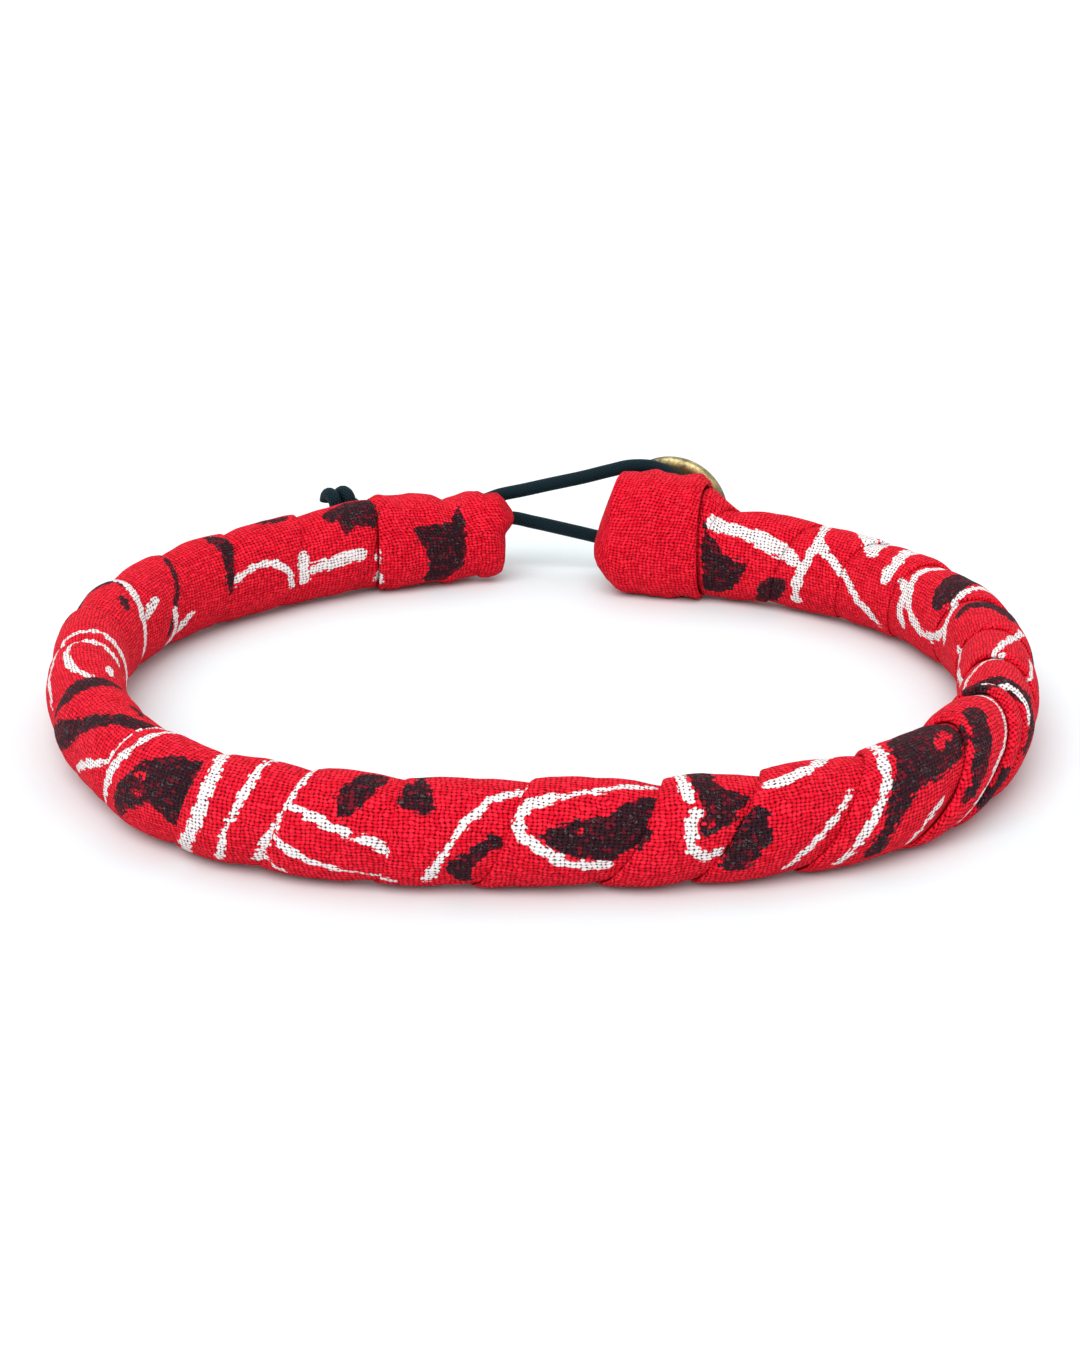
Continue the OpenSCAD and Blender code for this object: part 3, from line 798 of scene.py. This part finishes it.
def new_material(name):
    """Makes an empty material. Returns the function that adds a node to it."""
    material = bpy.data.materials.new(name)
    material.use_nodes = True
    material.node_tree.nodes.clear()
    return functools.partial(node, material.node_tree)


def set_ramp(ramp_node, stops):
    """Sets the stops of a colour ramp: (place, colour)."""
    elements = ramp_node.color_ramp.elements
    while len(elements) < len(stops):
        elements.new(0.5)
    for element, (place, colour) in zip(elements, stops):
        element.position = place
        element.color = (*colour, 1)
    return ramp_node.outputs[0]


def shade(colour, factor):
    """A colour made darker or lighter."""
    return tuple(min(1.0, c * factor) for c in colour)


def bandana_cotton(colours):
    """Plain-weave cotton, piece dyed red and printed with white and black. Each crossing of two threads is
    a small pillow with pinholes at its corners, and the print follows the threads. Shade is painted into
    the colour in the pinholes and between the threads, and a highlight on the tops of the threads."""
    add = new_material("Bandana cotton")
    red, white, black = tuple(colours.cotton), tuple(colours.white), tuple(colours.black)
    uv = add("UVMap", uv_map="threads")
    # Hand-spun threads wander by about a third of their spacing
    wander = add("TexNoise", {"Vector": uv, "Scale": 0.35, "Detail": 2.0}).outputs["Color"]
    centred = add("VectorMath SUBTRACT", wander, (0.5, 0.5, 0.5))
    moved = add("VectorMath MULTIPLY_ADD", centred, (1.7, 1.7, 1.7), uv)
    x, y = add("SeparateXYZ", moved).outputs[:2]
    column, row = add("Math FLOOR", x), add("Math FLOOR", y)
    parity = add("Math MODULO", add("Math ABSOLUTE", add("Math ADD", column, row)), 2.0)
    # How near a place is to the sides of its cell: 0 in the middle and 1 at the side
    side_x, side_y = (
        add("Math SUBTRACT", 1.0, add("Math SINE", add("Math MULTIPLY", add("Math FRACT", way), math.pi)))
        for way in (x, y))

    def luck_at(first, second, seed):
        """A random number for each cell."""
        place = add("CombineXYZ", first, second, seed)
        return add("TexWhiteNoise", {"Vector": place}, noise_dimensions="3D").outputs["Value"]

    luck = luck_at(column, row, 0.5)
    odd = add("Math SUBTRACT", luck, 0.5)
    fibre = add("TexNoise", {"Vector": moved, "Scale": 3.0, "Detail": 3.0, "Roughness": 0.7})
    fluff = add("Math SUBTRACT", fibre.outputs["Fac"], 0.5)
    # Pinholes where four cells meet, some wide and some closed. Below, painted shade darkens the colour in
    # them
    corner = luck_at(*(add("Math FLOOR", add("Math ADD", way, 0.5)) for way in (x, y)), 11.5)
    hole = add("Math MULTIPLY", add("Math POWER", side_x, 1.25), add("Math POWER", side_y, 1.25))
    hole = add("Math MULTIPLY", hole, add("Math MULTIPLY_ADD", corner, 1.25, 0.25))
    # The thread on top goes down at its sides and its ends, where painted shade darkens the colour below
    sides = add("Mix", {0: parity, 2: side_x, 3: side_y})
    ends = add("Mix", {0: parity, 2: side_y, 3: side_x})
    seam = add("Math MULTIPLY", add("Math POWER", ends, 2.2), 0.34)
    seam = add("Math MULTIPLY_ADD", add("Math POWER", sides, 1.5), 0.46, seam)
    tone = add("Math MULTIPLY_ADD", fluff, 0.7, add("Math MULTIPLY", odd, 0.38))
    depth = add("Math MULTIPLY_ADD", hole, -1.05, add("Math SUBTRACT", 0.97, seam))
    depth = add("Math ADD", depth, tone)
    # The dyed red ground, with painted shade darkening it in the pinholes and between the threads, and a
    # painted highlight brightening it where a thread stands up
    shaded_ground = set_ramp(add("ValToRGB", depth), (
        (0.0, shade(red, 0.20)), (0.34, shade(red, 0.48)), (0.62, shade(red, 0.84)), (0.85, red),
        (1.0, (min(1.0, red[0] * 1.20), red[1] + 0.014, red[2] + 0.02))))
    # Printed white: opaque on the threads, with the red ground in the pinholes, and darkened by painted
    # shade towards the pinholes and between the threads
    shaded_white = set_ramp(add("ValToRGB", depth), (
        (0.0, linear("4a2830")), (0.22, linear("a88c92")), (0.42, linear("ddcccd")),
        (0.64, shade(white, 0.92)), (1.0, white)))
    # Printed black: worn thin on some threads, so that the red shows, with grey specks of painted highlight
    # where loose fibres catch the light, and painted shade darkening it in the pinholes and between the
    # threads
    black_at = add("Attribute", attribute_name="black").outputs["Fac"]
    inside = add("Clamp", add("Math MULTIPLY", black_at, -1.0), 0.0, 0.5)
    worn = add("Math GREATER_THAN", add("Math MULTIPLY_ADD", fluff, 1.2, luck),
               add("Math MULTIPLY_ADD", inside, 0.4, 0.66))
    fibre_highlight = add("Math GREATER_THAN", add("Math SUBTRACT", add("Math MULTIPLY", fluff, 3.4), luck), 0.10)
    dark = (*black, 1)
    for share, colour in (
        # Grey specks of painted highlight, where loose fibres catch the light
        (add("Math MULTIPLY", fibre_highlight, 0.55), "7d7474"),
        (add("Math MULTIPLY", worn, 0.6), "8c1226"),
        # Painted shade: darker in the pinholes and between the threads
        (add("Math MULTIPLY_ADD", depth, -0.9, 0.9), "14040a"),
    ):
        dark = add("Mix", {0: share, 6: dark, 7: (*linear(colour), 1)}, data_type="RGBA").outputs[2]

    # A printed edge steps from thread to thread: it reaches further along some than along others
    coarse_x, coarse_y = (add("Math FLOOR", add("Math MULTIPLY", cell, 0.2)) for cell in (column, row))
    teeth = add("Math MULTIPLY_ADD", luck_at(column, coarse_y, 3.5), 0.13, -0.20)
    teeth = add("Math MULTIPLY_ADD", luck_at(coarse_x, row, 7.5), 0.27, teeth)
    edges = []
    for name in ("white_a", "white_b"):
        line = add("Attribute", attribute_name=name).outputs["Vector"]
        off_line, half_width = add("SeparateXYZ", line).outputs[:2]
        edges.append(add("Math SUBTRACT", add("Math ABSOLUTE", off_line), half_width))
    white_edge = add("Math ADD", add("Math MINIMUM", *edges), add("Math MULTIPLY_ADD", odd, 0.08, teeth))
    black_edge = add("Math ADD", black_at, add("Math MULTIPLY_ADD", odd, 0.16, teeth))
    white_on = add("MapRange", white_edge, 0.03, -0.03)
    black_on = add("MapRange", black_edge, 0.04, -0.04)
    printed = add("Mix", {0: black_on, 6: shaded_ground, 7: dark}, data_type="RGBA").outputs[2]
    printed = add("Mix", {0: white_on, 6: printed, 7: shaded_white}, data_type="RGBA").outputs[2]
    shader = add("BsdfPrincipled", {
        "Base Color": printed, "Roughness": 0.85, "Specular IOR Level": 0.07, "Sheen Weight": 0.06,
        "Sheen Roughness": 0.3, "Sheen Tint": (*linear("ff9aa4"), 1),
        "Normal": add("Bump", {"Strength": 1.0, "Distance": WEAVE_DEPTH * MM, "Height": depth})})
    add("OutputMaterial", {"Surface": shader})


def braided_elastic(colours):
    """Round elastic cord with a braided cover of dark teal yarn, nearly black, slightly glossy."""
    add = new_material("Braided elastic")
    yarn = tuple(colours.elastic)
    x, y = add("SeparateXYZ", add("UVMap", uv_map="threads")).outputs[:2]
    one, two = (
        add("Math ABSOLUTE", add("Math SINE", add("Math MULTIPLY", add("Math " + way, x, y), math.pi)))
        for way in ("ADD", "SUBTRACT"))
    braid = add("Math MULTIPLY", one, two)
    # Painted shade: the yarn is darkened to a fifth of its colour in the grooves between the braid's
    # strands
    mixed = add("Mix", {0: braid, 6: (*shade(yarn, 0.2), 1), 7: (*yarn, 1)}, data_type="RGBA")
    shader = add("BsdfPrincipled", {
        "Base Color": mixed.outputs[2], "Roughness": 0.6, "Specular IOR Level": 0.12,
        "Normal": add("Bump", {"Strength": 0.8, "Distance": BRAID_DEPTH * MM, "Height": braid})})
    add("OutputMaterial", {"Surface": shader})


def antique_brass(colours):
    """Stamped brass, darkened with age in clouds and spots and rubbed brighter between them."""
    add = new_material("Antique brass")
    place = add("TexCoord").outputs["Object"]
    cloud = add("TexNoise", {"Vector": place, "Scale": 1 / (CLOUD_MM * MM), "Detail": 4.0}).outputs["Fac"]
    spots = add("TexNoise", {"Vector": place, "Scale": 1 / (SPOT_MM * MM), "Detail": 3.0}).outputs["Fac"]
    wear = add("Math MULTIPLY_ADD", cloud, 0.7, add("Math MULTIPLY", spots, 0.3))
    mixed = add("Mix", {
        0: add("MapRange", wear, 0.38, 0.60), 6: (*linear("57513c"), 1), 7: (*colours.brass, 1)},
        data_type="RGBA")
    shader = add("BsdfPrincipled", {
        "Base Color": mixed.outputs[2], "Metallic": 1.0,
        "Roughness": add("MapRange", wear, 0.3, 0.7, 0.55, 0.30),
        "Normal": add("Bump", {"Strength": 0.4, "Distance": PIT_DEPTH * MM, "Height": spots})})
    add("OutputMaterial", {"Surface": shader})


class BraceletSizes(bpy.types.PropertyGroup):
    """Sizes of the bracelet's pieces"""

    strip_thickness: size_property(
        "Strip thickness", "Thickness of the folded strip of cotton", STRIP_THICK)
    wrap_thickness: size_property(
        "Wrap thickness", "Thickness of the cotton wrapped round the ends", WRAP_THICK)
    crease: size_property("Crease height", "Height of the creases pulled into the cloth", CREASE_HEIGHT)
    thread: size_property(
        "Thread spacing", "Distance from one thread of the cotton to the next", THREAD_MM)
    cord: size_property("Cord diameter", "Diameter of the elastic cord", ELASTIC_D)
    button: size_property("Button diameter", "Diameter of the brass button", BUTTON_D)


class BraceletColours(bpy.types.PropertyGroup):
    """Colours of the bracelet"""

    cotton: colour_property("Cotton", "Dyed ground of the cotton", "e4102a")
    white: colour_property("White print", "White lines of the print", "f4efee")
    black: colour_property("Black print", "Black shapes of the print", "331a22")
    elastic: colour_property("Elastic", "Cover of the elastic cord", "052a34")
    brass: colour_property("Brass", "Rubbed faces of the button", "b4a474")


def loop_mouth(a):
    """Ring angle of the loop-end wrap's mouth at section angles a."""
    return LOOP_WRAP_ROWS[0][0] + MOUTH_LEAN * np.maximum(0, -np.cos(np.radians(a)))


def strip_shape(thick, crease):
    """Points of the wound strip by step and column, with their ring and section angles and the
    number of degrees that the threads are turned at each step."""
    edge, bold, grain = lap_curves()
    count = (len(LAPS) - 1) * STEPS
    i = np.arange(count)
    left, right = edge[i][:, None], edge[i + STEPS][:, None]
    pitch = (right - left) * CHART_PITCH
    lip = thick / 2
    shares, heights = np.array(TURN_ROWS).T
    first = float(heights[0])
    lips = np.radians(LIP_ANGLES)
    tops, unders = np.array(TOP_SHARES), np.array(UNDER_SHARES)
    flat_shares = np.append(tops, unders)
    share = np.concatenate([
        lip * (1 - np.cos(lips)) / pitch, np.broadcast_to(flat_shares, (count, len(flat_shares)))
    ], axis=1)
    height = np.concatenate([
        first - lip + lip * np.sin(lips), np.interp(tops, shares, heights),
        np.interp(unders, shares, heights) - thick
    ])[None, :]
    here, after = bold[i][:, None], bold[i + STEPS][:, None]
    sunk = np.where(share > SINK_SHARE, height * (SINK_FIXED + (1 - SINK_FIXED) * after), height)
    height = np.where(height > 0, height * here, sunk)
    t = left + (right - left) * np.minimum(share, 1) + np.maximum(share - 1, 0) * TAIL_DEGREES
    t = np.where(t > HIDDEN_T[1], HIDDEN_T[1] + (t - HIDDEN_T[1]) * HIDDEN_SQUEEZE, t)
    t = np.where(t < HIDDEN_T[0], HIDDEN_T[0] + (t - HIDDEN_T[0]) * HIDDEN_SQUEEZE, t)
    a = (FOOT_ANGLE + i * 360 / STEPS)[:, None] + 0 * share
    at, left_over, sink = zip(*PRESS_ROWS)
    folded = (a + 90) % 360 - 90
    height = height * np.interp(folded, at, left_over) - np.interp(folded, at, sink)
    at, pull = zip(*PULL_ROWS)
    height = height - np.interp(t, at, pull) * np.cos(np.radians(a))
    lift = height + wrinkle(t * CHART_PITCH, a * ROUND_PITCH, crease)
    for place, depth, reach in TUCKS:
        for mouth, way in ((-loop_mouth(a), -t), (BUTTON_WRAP_ROWS[0][0], t)):
            start = mouth - TUCK_BEFORE + place
            lift = lift - depth * smooth_step(start, start + reach, way)
    return band_point(t, a, lift), t, a, grain[i][:, None]


def thread_map(t, points, round_mm, grain):
    """Places on the cloth in millimetres: along the threads and across them. They are measured over
    the folded edge and the face of each turn, so that the threads stay evenly spaced there. The
    threads turn by grain degrees against the band, and run on from one step to the next."""
    spans = np.linalg.norm(np.diff(points, axis=1), axis=2)
    along = np.concatenate([np.zeros((len(t), 1)), np.cumsum(spans, axis=1)], axis=1)
    anchor = len(LIP_ANGLES) + len(TOP_SHARES) // 2
    along += (t * CHART_PITCH - along)[:, anchor : anchor + 1]
    middle = along.mean(axis=1, keepdims=True)
    lean = np.tan(np.radians(grain))
    step = np.gradient(round_mm[:, :1], axis=0)
    drift = np.cumsum(lean * step, axis=0)
    return np.stack([along - drift, round_mm + lean * (along - middle)], axis=-1)


def section_length(a, points):
    """Millimetres round a section up to each section angle in a. points go once round it."""
    around = np.concatenate([points, points[:1]])
    length = np.concatenate([[0], np.cumsum(np.linalg.norm(np.diff(around, axis=0), axis=1))])
    turn, rest = np.divmod((a - FOOT_ANGLE) / 360 + 1e-9, 1)
    return (turn + np.interp(rest, np.linspace(0, 1, len(length)), length / length[-1])) * length[-1]


def chart_spots(t, a):
    """Chart places in millimetres of points at ring angles t and section angles a."""
    folded = (a + 90) % 360 - 90
    return np.stack([(t * CHART_PITCH).ravel(), (folded * ROUND_PITCH).ravel()], axis=1)


def finish_cotton(piece, threads, spots, thread, cad):
    spacing = np.array(THREAD_SPREAD) * thread / MM
    add_uv(piece, "threads", threads.reshape(-1, 2)[corner_index(piece)] / spacing)
    print_cotton(piece, spots)
    piece.data.materials.append(bpy.data.materials["Bandana cotton"])
    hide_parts(cad)
    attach(piece, "root")


class BRACELET_OT_strip(bpy.types.Operator):
    """Winds the folded strip of printed cotton round the core"""

    bl_idname = "bracelet.strip"
    bl_label = "Wound cotton strip"

    def execute(self, context):
        sizes = context.scene.bracelet_sizes
        points, t, a, grain = strip_shape(sizes.strip_thickness / MM, sizes.crease / MM)
        piece = new_mesh("cotton_strip", points.reshape(-1, 3), ring_faces(*t.shape))
        once = FOOT_ANGLE + np.arange(STEPS) * 360 / STEPS
        section = band_point(0 * once, once, THREAD_LIFT)
        length = section_length(a, section)
        threads = thread_map(t, points, length, grain)
        finish_cotton(piece, threads, chart_spots(t, a), sizes.thread, "wound_band")
        return {"FINISHED"}


def wrap_rings(rows, height, place, thin):
    """Table values of a wrap at places counted in rows, with its wall's thickness taken off."""
    t, half_w, share, lift, shift = (
        np.interp(place, np.arange(len(rows)), column)[:, None] for column in zip(*rows))
    half_h = height * share / 2
    return t, np.maximum(INNER_LEAST, half_w - thin), np.maximum(INNER_LEAST, half_h - thin), \
        half_h + lift, shift


def wrap_crease(t, a, creases):
    """How far the creases of a wrap are pulled in at ring angles t and section angles a."""
    total = 0 * t
    for at_top, lean, depth in creases:
        line = at_top + lean * np.cos(np.radians(a - TOP_ANGLE)) - lean
        line = line + CREASE_WANDER * np.sin(np.radians(3 * a + 40 * depth))
        side = (t - line) * CHART_PITCH * np.sign(at_top)
        total = total - depth * np.exp(-np.abs(side) / np.where(side > 0, *CREASE_REACH))
    return total


def wrap_shape(rows, height, thick, creases, mouth_lean):
    """Points of an end wrap: its inner wall from deep inside to the mouth, the rounded lip, and the
    outer face on to the closed tip. Also their ring and section angles."""
    a = (FOOT_ANGLE + np.arange(STEPS) * 360 / STEPS)[None, :]
    last = len(rows) - 1
    lip = np.radians(np.linspace(-LIP_TURN, LIP_TURN, LIP_RINGS))
    # Where each ring is along the table, how much thinner than the outer face, and how far it is
    # set back from the mouth
    inner, outer = np.linspace(last - INNER_SHORT, 0, INNER_RINGS), np.linspace(0, last, OUTER_RINGS)
    place = np.concatenate([inner, 0 * lip, outer])
    thin = np.concatenate([0 * inner + thick, thick / 2 - thick / 2 * np.sin(lip), 0 * outer])[:, None]
    back = np.concatenate([0 * inner, thick / 2 * np.cos(lip), 0 * outer])[:, None]
    t, half_w, half_h, mid, shift = wrap_rings(rows, height, place, thin)
    place = place[:, None]
    share = (mid + half_h * np.sin(np.radians(a))) / height
    short = (1 - smooth_step(*TIP_STEP, share)) * np.clip((place - TIP_FROM) / TIP_OVER, 0, 1)
    t = t + short * (TIP_SHORT if mouth_lean else 0)
    lean = mouth_lean * np.maximum(0, -np.cos(np.radians(a))) * np.clip(1 - place / MOUTH_FADE, 0, 1)
    t = t - np.sign(rows[0][0]) * back / CHART_PITCH + lean
    a = a + 0 * t
    fold = wrap_crease(t, a, creases) + wrinkle(t * WRAP_WAVES * CHART_PITCH, a * ROUND_PITCH, WRAP_FOLD)
    fold = fold * np.clip((last - place) / FOLD_FADE, 0, 1) * np.clip(place / FOLD_RISE, 0, 1)
    fold = np.where(thin > 0, 0, fold)
    return section_point(t, a, half_w + fold, half_h + fold, mid, shift, WRAP_SQUARE), t, a


class BRACELET_OT_wraps(bpy.types.Operator):
    """Wraps plain ends of the cotton round the two ends of the band"""

    bl_idname = "bracelet.wraps"
    bl_label = "End wraps"

    def execute(self, context):
        sizes = context.scene.bracelet_sizes
        for name, cad, rows, height, creases, lean, flat in (
            ("loop_end_cotton", "loop_end_wrap", LOOP_WRAP_ROWS, LOOP_WRAP_H, LOOP_WRAP_CREASES,
             MOUTH_LEAN, LOOP_WRAP_CUT),
            ("button_end_cotton", "button_end_wrap", BUTTON_WRAP_ROWS, BUTTON_WRAP_H,
             BUTTON_WRAP_CREASES, 0, BUTTON_WRAP_CUT),
        ):
            points, t, a = wrap_shape(rows, height, sizes.wrap_thickness / MM, creases, lean)
            piece = new_mesh(name, points.reshape(-1, 3), ring_faces(*t.shape))
            if signed_volume(piece) < 0:
                piece.data.flip_normals()
            # The section where the wrap is fullest sets how many threads go round it
            length = section_length(a, points[FULL_RING])
            spans = np.linalg.norm(np.diff(points, axis=0), axis=2)
            along = np.concatenate([np.zeros((1, STEPS)), np.cumsum(spans, axis=0)])
            threads = np.stack([along, length], axis=-1)
            finish_cotton(piece, threads, chart_spots(t, a), sizes.thread, cad)
        return {"FINISHED"}


def signed_volume(piece):
    """Volume inside a closed piece, below zero where its faces point inwards."""
    mesh = piece.data
    mesh.calc_loop_triangles()
    points = np.zeros(len(mesh.vertices) * 3)
    mesh.vertices.foreach_get("co", points)
    corners = np.zeros(len(mesh.loop_triangles) * 3, np.int32)
    mesh.loop_triangles.foreach_get("vertices", corners)
    a, b, c = points.reshape(-1, 3)[corners.reshape(-1, 3).T]
    return float((a * np.cross(b, c)).sum() / 6)


def tube(name, path, radius):
    """A cord's mesh along a path in millimetres, with the map that its braid follows."""
    path = np.asarray(path, float)
    along = np.gradient(path, axis=0)
    along /= np.linalg.norm(along, axis=1, keepdims=True)
    side = np.cross(along[0], CORD_UP)
    rings = []
    angles = np.arange(CORD_SIDES) * 2 * math.pi / CORD_SIDES
    for place, direction in zip(path, along):
        side = side - direction * (side @ direction)
        side /= np.linalg.norm(side)
        up = np.cross(side, direction)
        rings.append(place + radius * (np.cos(angles)[:, None] * side + np.sin(angles)[:, None] * up))
    piece = new_mesh(name, np.concatenate(rings), ring_faces(len(path), CORD_SIDES))
    if signed_volume(piece) < 0:
        piece.data.flip_normals()
    length = np.concatenate([[0], np.cumsum(np.linalg.norm(np.diff(path, axis=0), axis=1))])
    index = corner_index(piece)
    strand = (index % CORD_SIDES) * BRAID_STRANDS / CORD_SIDES
    # The corners that close a ring belong to its last strand
    loops = np.arange(len(index)) // 4 * 4
    base = strand[np.minimum(loops, len(index) - 1)]
    strand = np.where((strand < base) & (base > BRAID_STRANDS * 0.9), strand + BRAID_STRANDS, strand)
    add_uv(piece, "threads", np.stack([strand, length[index // CORD_SIDES] / BRAID_MM], axis=1))
    piece.data.materials.append(bpy.data.materials["Braided elastic"])
    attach(piece, "root")
    return piece, float(length[-1])


def knot_path():
    """Middle of the cord through the knot: nearly twice round, and its tail back to the wrap."""
    band = lambda t, lift: band_point(np.array([t]), np.array([float(KNOT_ANGLE)]), lift)[0]
    middle, end = band(KNOT_AT, KNOT_LIFT), band(KNOT_TAIL_TO, KNOT_TAIL_LIFT)
    along = band(KNOT_TAIL_TO, KNOT_LIFT) - middle
    along /= np.linalg.norm(along)
    across = np.cross((0, 0, 1.0), along)
    across /= np.linalg.norm(across)
    up = np.cross(along, across)
    turns = np.linspace(0, 1, KNOT_POINTS)
    angle = 2 * math.pi * KNOT_TURNS * turns
    spread = KNOT_SPREAD * np.tanh(KNOT_STEP * (turns - 0.5)) / math.tanh(KNOT_STEP / 2)
    coil = middle + spread[:, None] * along \
        + KNOT_TURN_R * (np.cos(angle)[:, None] * across + np.sin(angle)[:, None] * up)
    first, second = (coil[-1] + on * along for on in KNOT_TAIL_ON)
    return curved(np.concatenate([coil, [first, end + 0.5 * (second - end), end]]), False, 3)


class BRACELET_OT_elastic(bpy.types.Operator):
    """Runs the elastic cord from the loop end round the button's neck and back, and knots it"""

    bl_idname = "bracelet.elastic"
    bl_label = "Elastic loop and knot"

    def execute(self, context):
        diameter = context.scene.bracelet_sizes.cord
        radius = diameter / MM / 2
        knot, _ = tube("cord_knot", knot_path(), radius)
        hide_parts("elastic_knot")
        path = curved((ELASTIC_HIDDEN[0], *ELASTIC_ROUTE, ELASTIC_HIDDEN[1]), False, 10)
        cord, length = tube("elastic_cord", path, radius)
        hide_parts("elastic_loop")
        return {"FINISHED"}


def edit_faces(piece, wanted):
    """Selects, in edit mode, only the faces that wanted(face) picks."""
    bpy.ops.object.mode_set(mode="OBJECT")
    for part in (piece.data.vertices, piece.data.edges, piece.data.polygons):
        part.foreach_set("select", [False] * len(part))
    for face in piece.data.polygons:
        face.select = bool(wanted(face))
    bpy.ops.object.mode_set(mode="EDIT")
    bpy.ops.mesh.select_mode(type="FACE")


class BRACELET_OT_button(bpy.types.Operator):
    """Models the domed brass button on its neck"""

    bl_idname = "bracelet.button"
    bl_label = "Brass button"

    def execute(self, context):
        radius = context.scene.bracelet_sizes.button / 2
        bpy.ops.object.select_all(action="DESELECT")
        bpy.ops.mesh.primitive_cylinder_add(
            vertices=BUTTON_SIDES, radius=NECK_D / 2 * MM, depth=NECK_LENGTH * MM,
            location=(0, 0, NECK_LENGTH / 2 * MM))
        piece = context.object
        piece.name = piece.data.name = "brass_button"
        bpy.ops.object.transform_apply(location=True, rotation=True, scale=True)
        edit_faces(piece, lambda face: face.normal.z > END_FACING)
        height, size = NECK_LENGTH, NECK_D / 2
        full = radius / MM
        for share, rise in BUTTON_PROFILE:
            new_height, new_size = NECK_LENGTH + rise, full * share
            bpy.ops.mesh.extrude_region_move(
                TRANSFORM_OT_translate={"value": (0, 0, (new_height - height) * MM)})
            scale = new_size / size
            bpy.ops.transform.resize(value=(scale, scale, 1), center_override=(0, 0, new_height * MM))
            height, size = new_height, new_size
        bpy.ops.mesh.inset(thickness=size * MM * CROWN_INSET)
        bpy.ops.transform.translate(value=(0, 0, CROWN_RISE * MM))
        edit_faces(piece, lambda face: face.normal.z < -END_FACING and face.center.z < CROWN_RISE * MM)
        bpy.ops.mesh.inset(thickness=NECK_D * MM * NECK_INSET)
        bpy.ops.mesh.select_all(action="SELECT")
        bpy.ops.mesh.normals_make_consistent(inside=False)
        bpy.ops.object.mode_set(mode="OBJECT")
        bpy.ops.object.shade_smooth_by_angle(angle=math.radians(SMOOTH_UP_TO))
        nx, ny = outward(np.array([BUTTON_AT]))
        cx, cy = ring_xy(np.array([BUTTON_AT]))
        reach = WRAP_HALF_AT_BUTTON + NECK_GAP
        piece.location = ((cx[0] + nx[0] * reach) * MM, (cy[0] + ny[0] * reach) * MM, BUTTON_Z * MM)
        piece.rotation_euler = (0, math.radians(90), math.atan2(ny[0], nx[0]))
        bpy.ops.object.transform_apply(location=True, rotation=True, scale=True)
        if signed_volume(piece) < 0:
            raise RuntimeError("the button's faces point inwards")
        piece.data.materials.append(bpy.data.materials["Antique brass"])
        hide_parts("button")
        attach(piece, "root")
        return {"FINISHED"}


class BRACELET_OT_stage(bpy.types.Operator):
    """Sets the camera, the pale floor and the soft studio light"""

    bl_idname = "bracelet.stage"
    bl_label = "Stage"

    def execute(self, context):
        scene = context.scene
        data = bpy.data.cameras.new("Camera")
        data.sensor_width = CAMERA_SENSOR
        data.lens = CAMERA_LENS
        data.clip_start = CAMERA_NEAREST * MM
        camera = bpy.data.objects.new("Camera", data)
        camera.location = [c * MM for c in CAMERA_PLACE]
        camera.rotation_euler = (math.radians(90 - CAMERA_DOWN), 0, 0)
        scene.collection.objects.link(camera)
        scene.camera = camera
        bpy.ops.object.select_all(action="DESELECT")
        bpy.ops.mesh.primitive_plane_add(size=FLOOR_SIDE, location=(0, 0, 0))
        floor = context.object
        floor.name = "floor"
        # Matt card, so pale that it shows only the soft shadows
        add = new_material("Pale card")
        shader = add("BsdfPrincipled", {
            "Base Color": (*linear("dfe7e9"), 1), "Roughness": 1.0, "Specular IOR Level": 0.0})
        add("OutputMaterial", {"Surface": shader})
        floor.data.materials.append(bpy.data.materials["Pale card"])
        world = bpy.data.worlds.new("Studio")
        scene.world = world
        world.use_nodes = True
        back = world.node_tree.nodes["Background"]
        back.inputs[0].default_value = (1, 1, 1, 1)
        back.inputs[1].default_value = WORLD_LIGHT
        for name, strength, spread, azimuth, elevation in LIGHTS:
            data = bpy.data.lights.new(name, "SUN")
            data.energy = strength
            data.angle = math.radians(spread)
            light = bpy.data.objects.new(name, data)
            light.rotation_euler = (math.radians(90 - elevation), 0, math.radians(azimuth))
            scene.collection.objects.link(light)
        scene.view_settings.view_transform = "Standard"
        return {"FINISHED"}


class BRACELET_PT_panel(bpy.types.Panel):
    """Lists the bracelet's pieces, sizes and colours"""

    bl_label = "Bandana bracelet"
    bl_idname = "BRACELET_PT_panel"
    bl_space_type = "VIEW_3D"
    bl_region_type = "UI"
    bl_category = "Bracelet"

    def draw(self, context):
        for group in (context.scene.bracelet_sizes, context.scene.bracelet_colours):
            for name in type(group).__annotations__:
                self.layout.prop(group, name)
        for operator in OPERATORS:
            self.layout.operator(operator.bl_idname)


OPERATORS = (
    BRACELET_OT_stage,
    BRACELET_OT_elastic,
    BRACELET_OT_strip,
    BRACELET_OT_wraps,
    BRACELET_OT_button,
)
CLASSES = (BraceletSizes, BraceletColours, *OPERATORS, BRACELET_PT_panel)


def register():
    for item in CLASSES:
        bpy.utils.register_class(item)
    bpy.types.Scene.bracelet_sizes = bpy.props.PointerProperty(type=BraceletSizes)
    bpy.types.Scene.bracelet_colours = bpy.props.PointerProperty(type=BraceletColours)


def unregister():
    del bpy.types.Scene.bracelet_colours
    del bpy.types.Scene.bracelet_sizes
    for item in reversed(CLASSES):
        bpy.utils.unregister_class(item)


def main():
    register()
    colours = bpy.context.scene.bracelet_colours
    bandana_cotton(colours)
    braided_elastic(colours)
    antique_brass(colours)
    bpy.ops.bracelet.stage()
    bpy.ops.bracelet.elastic()
    bpy.ops.bracelet.strip()
    bpy.ops.bracelet.wraps()
    bpy.ops.bracelet.button()


if __name__ == "__main__":
    main()
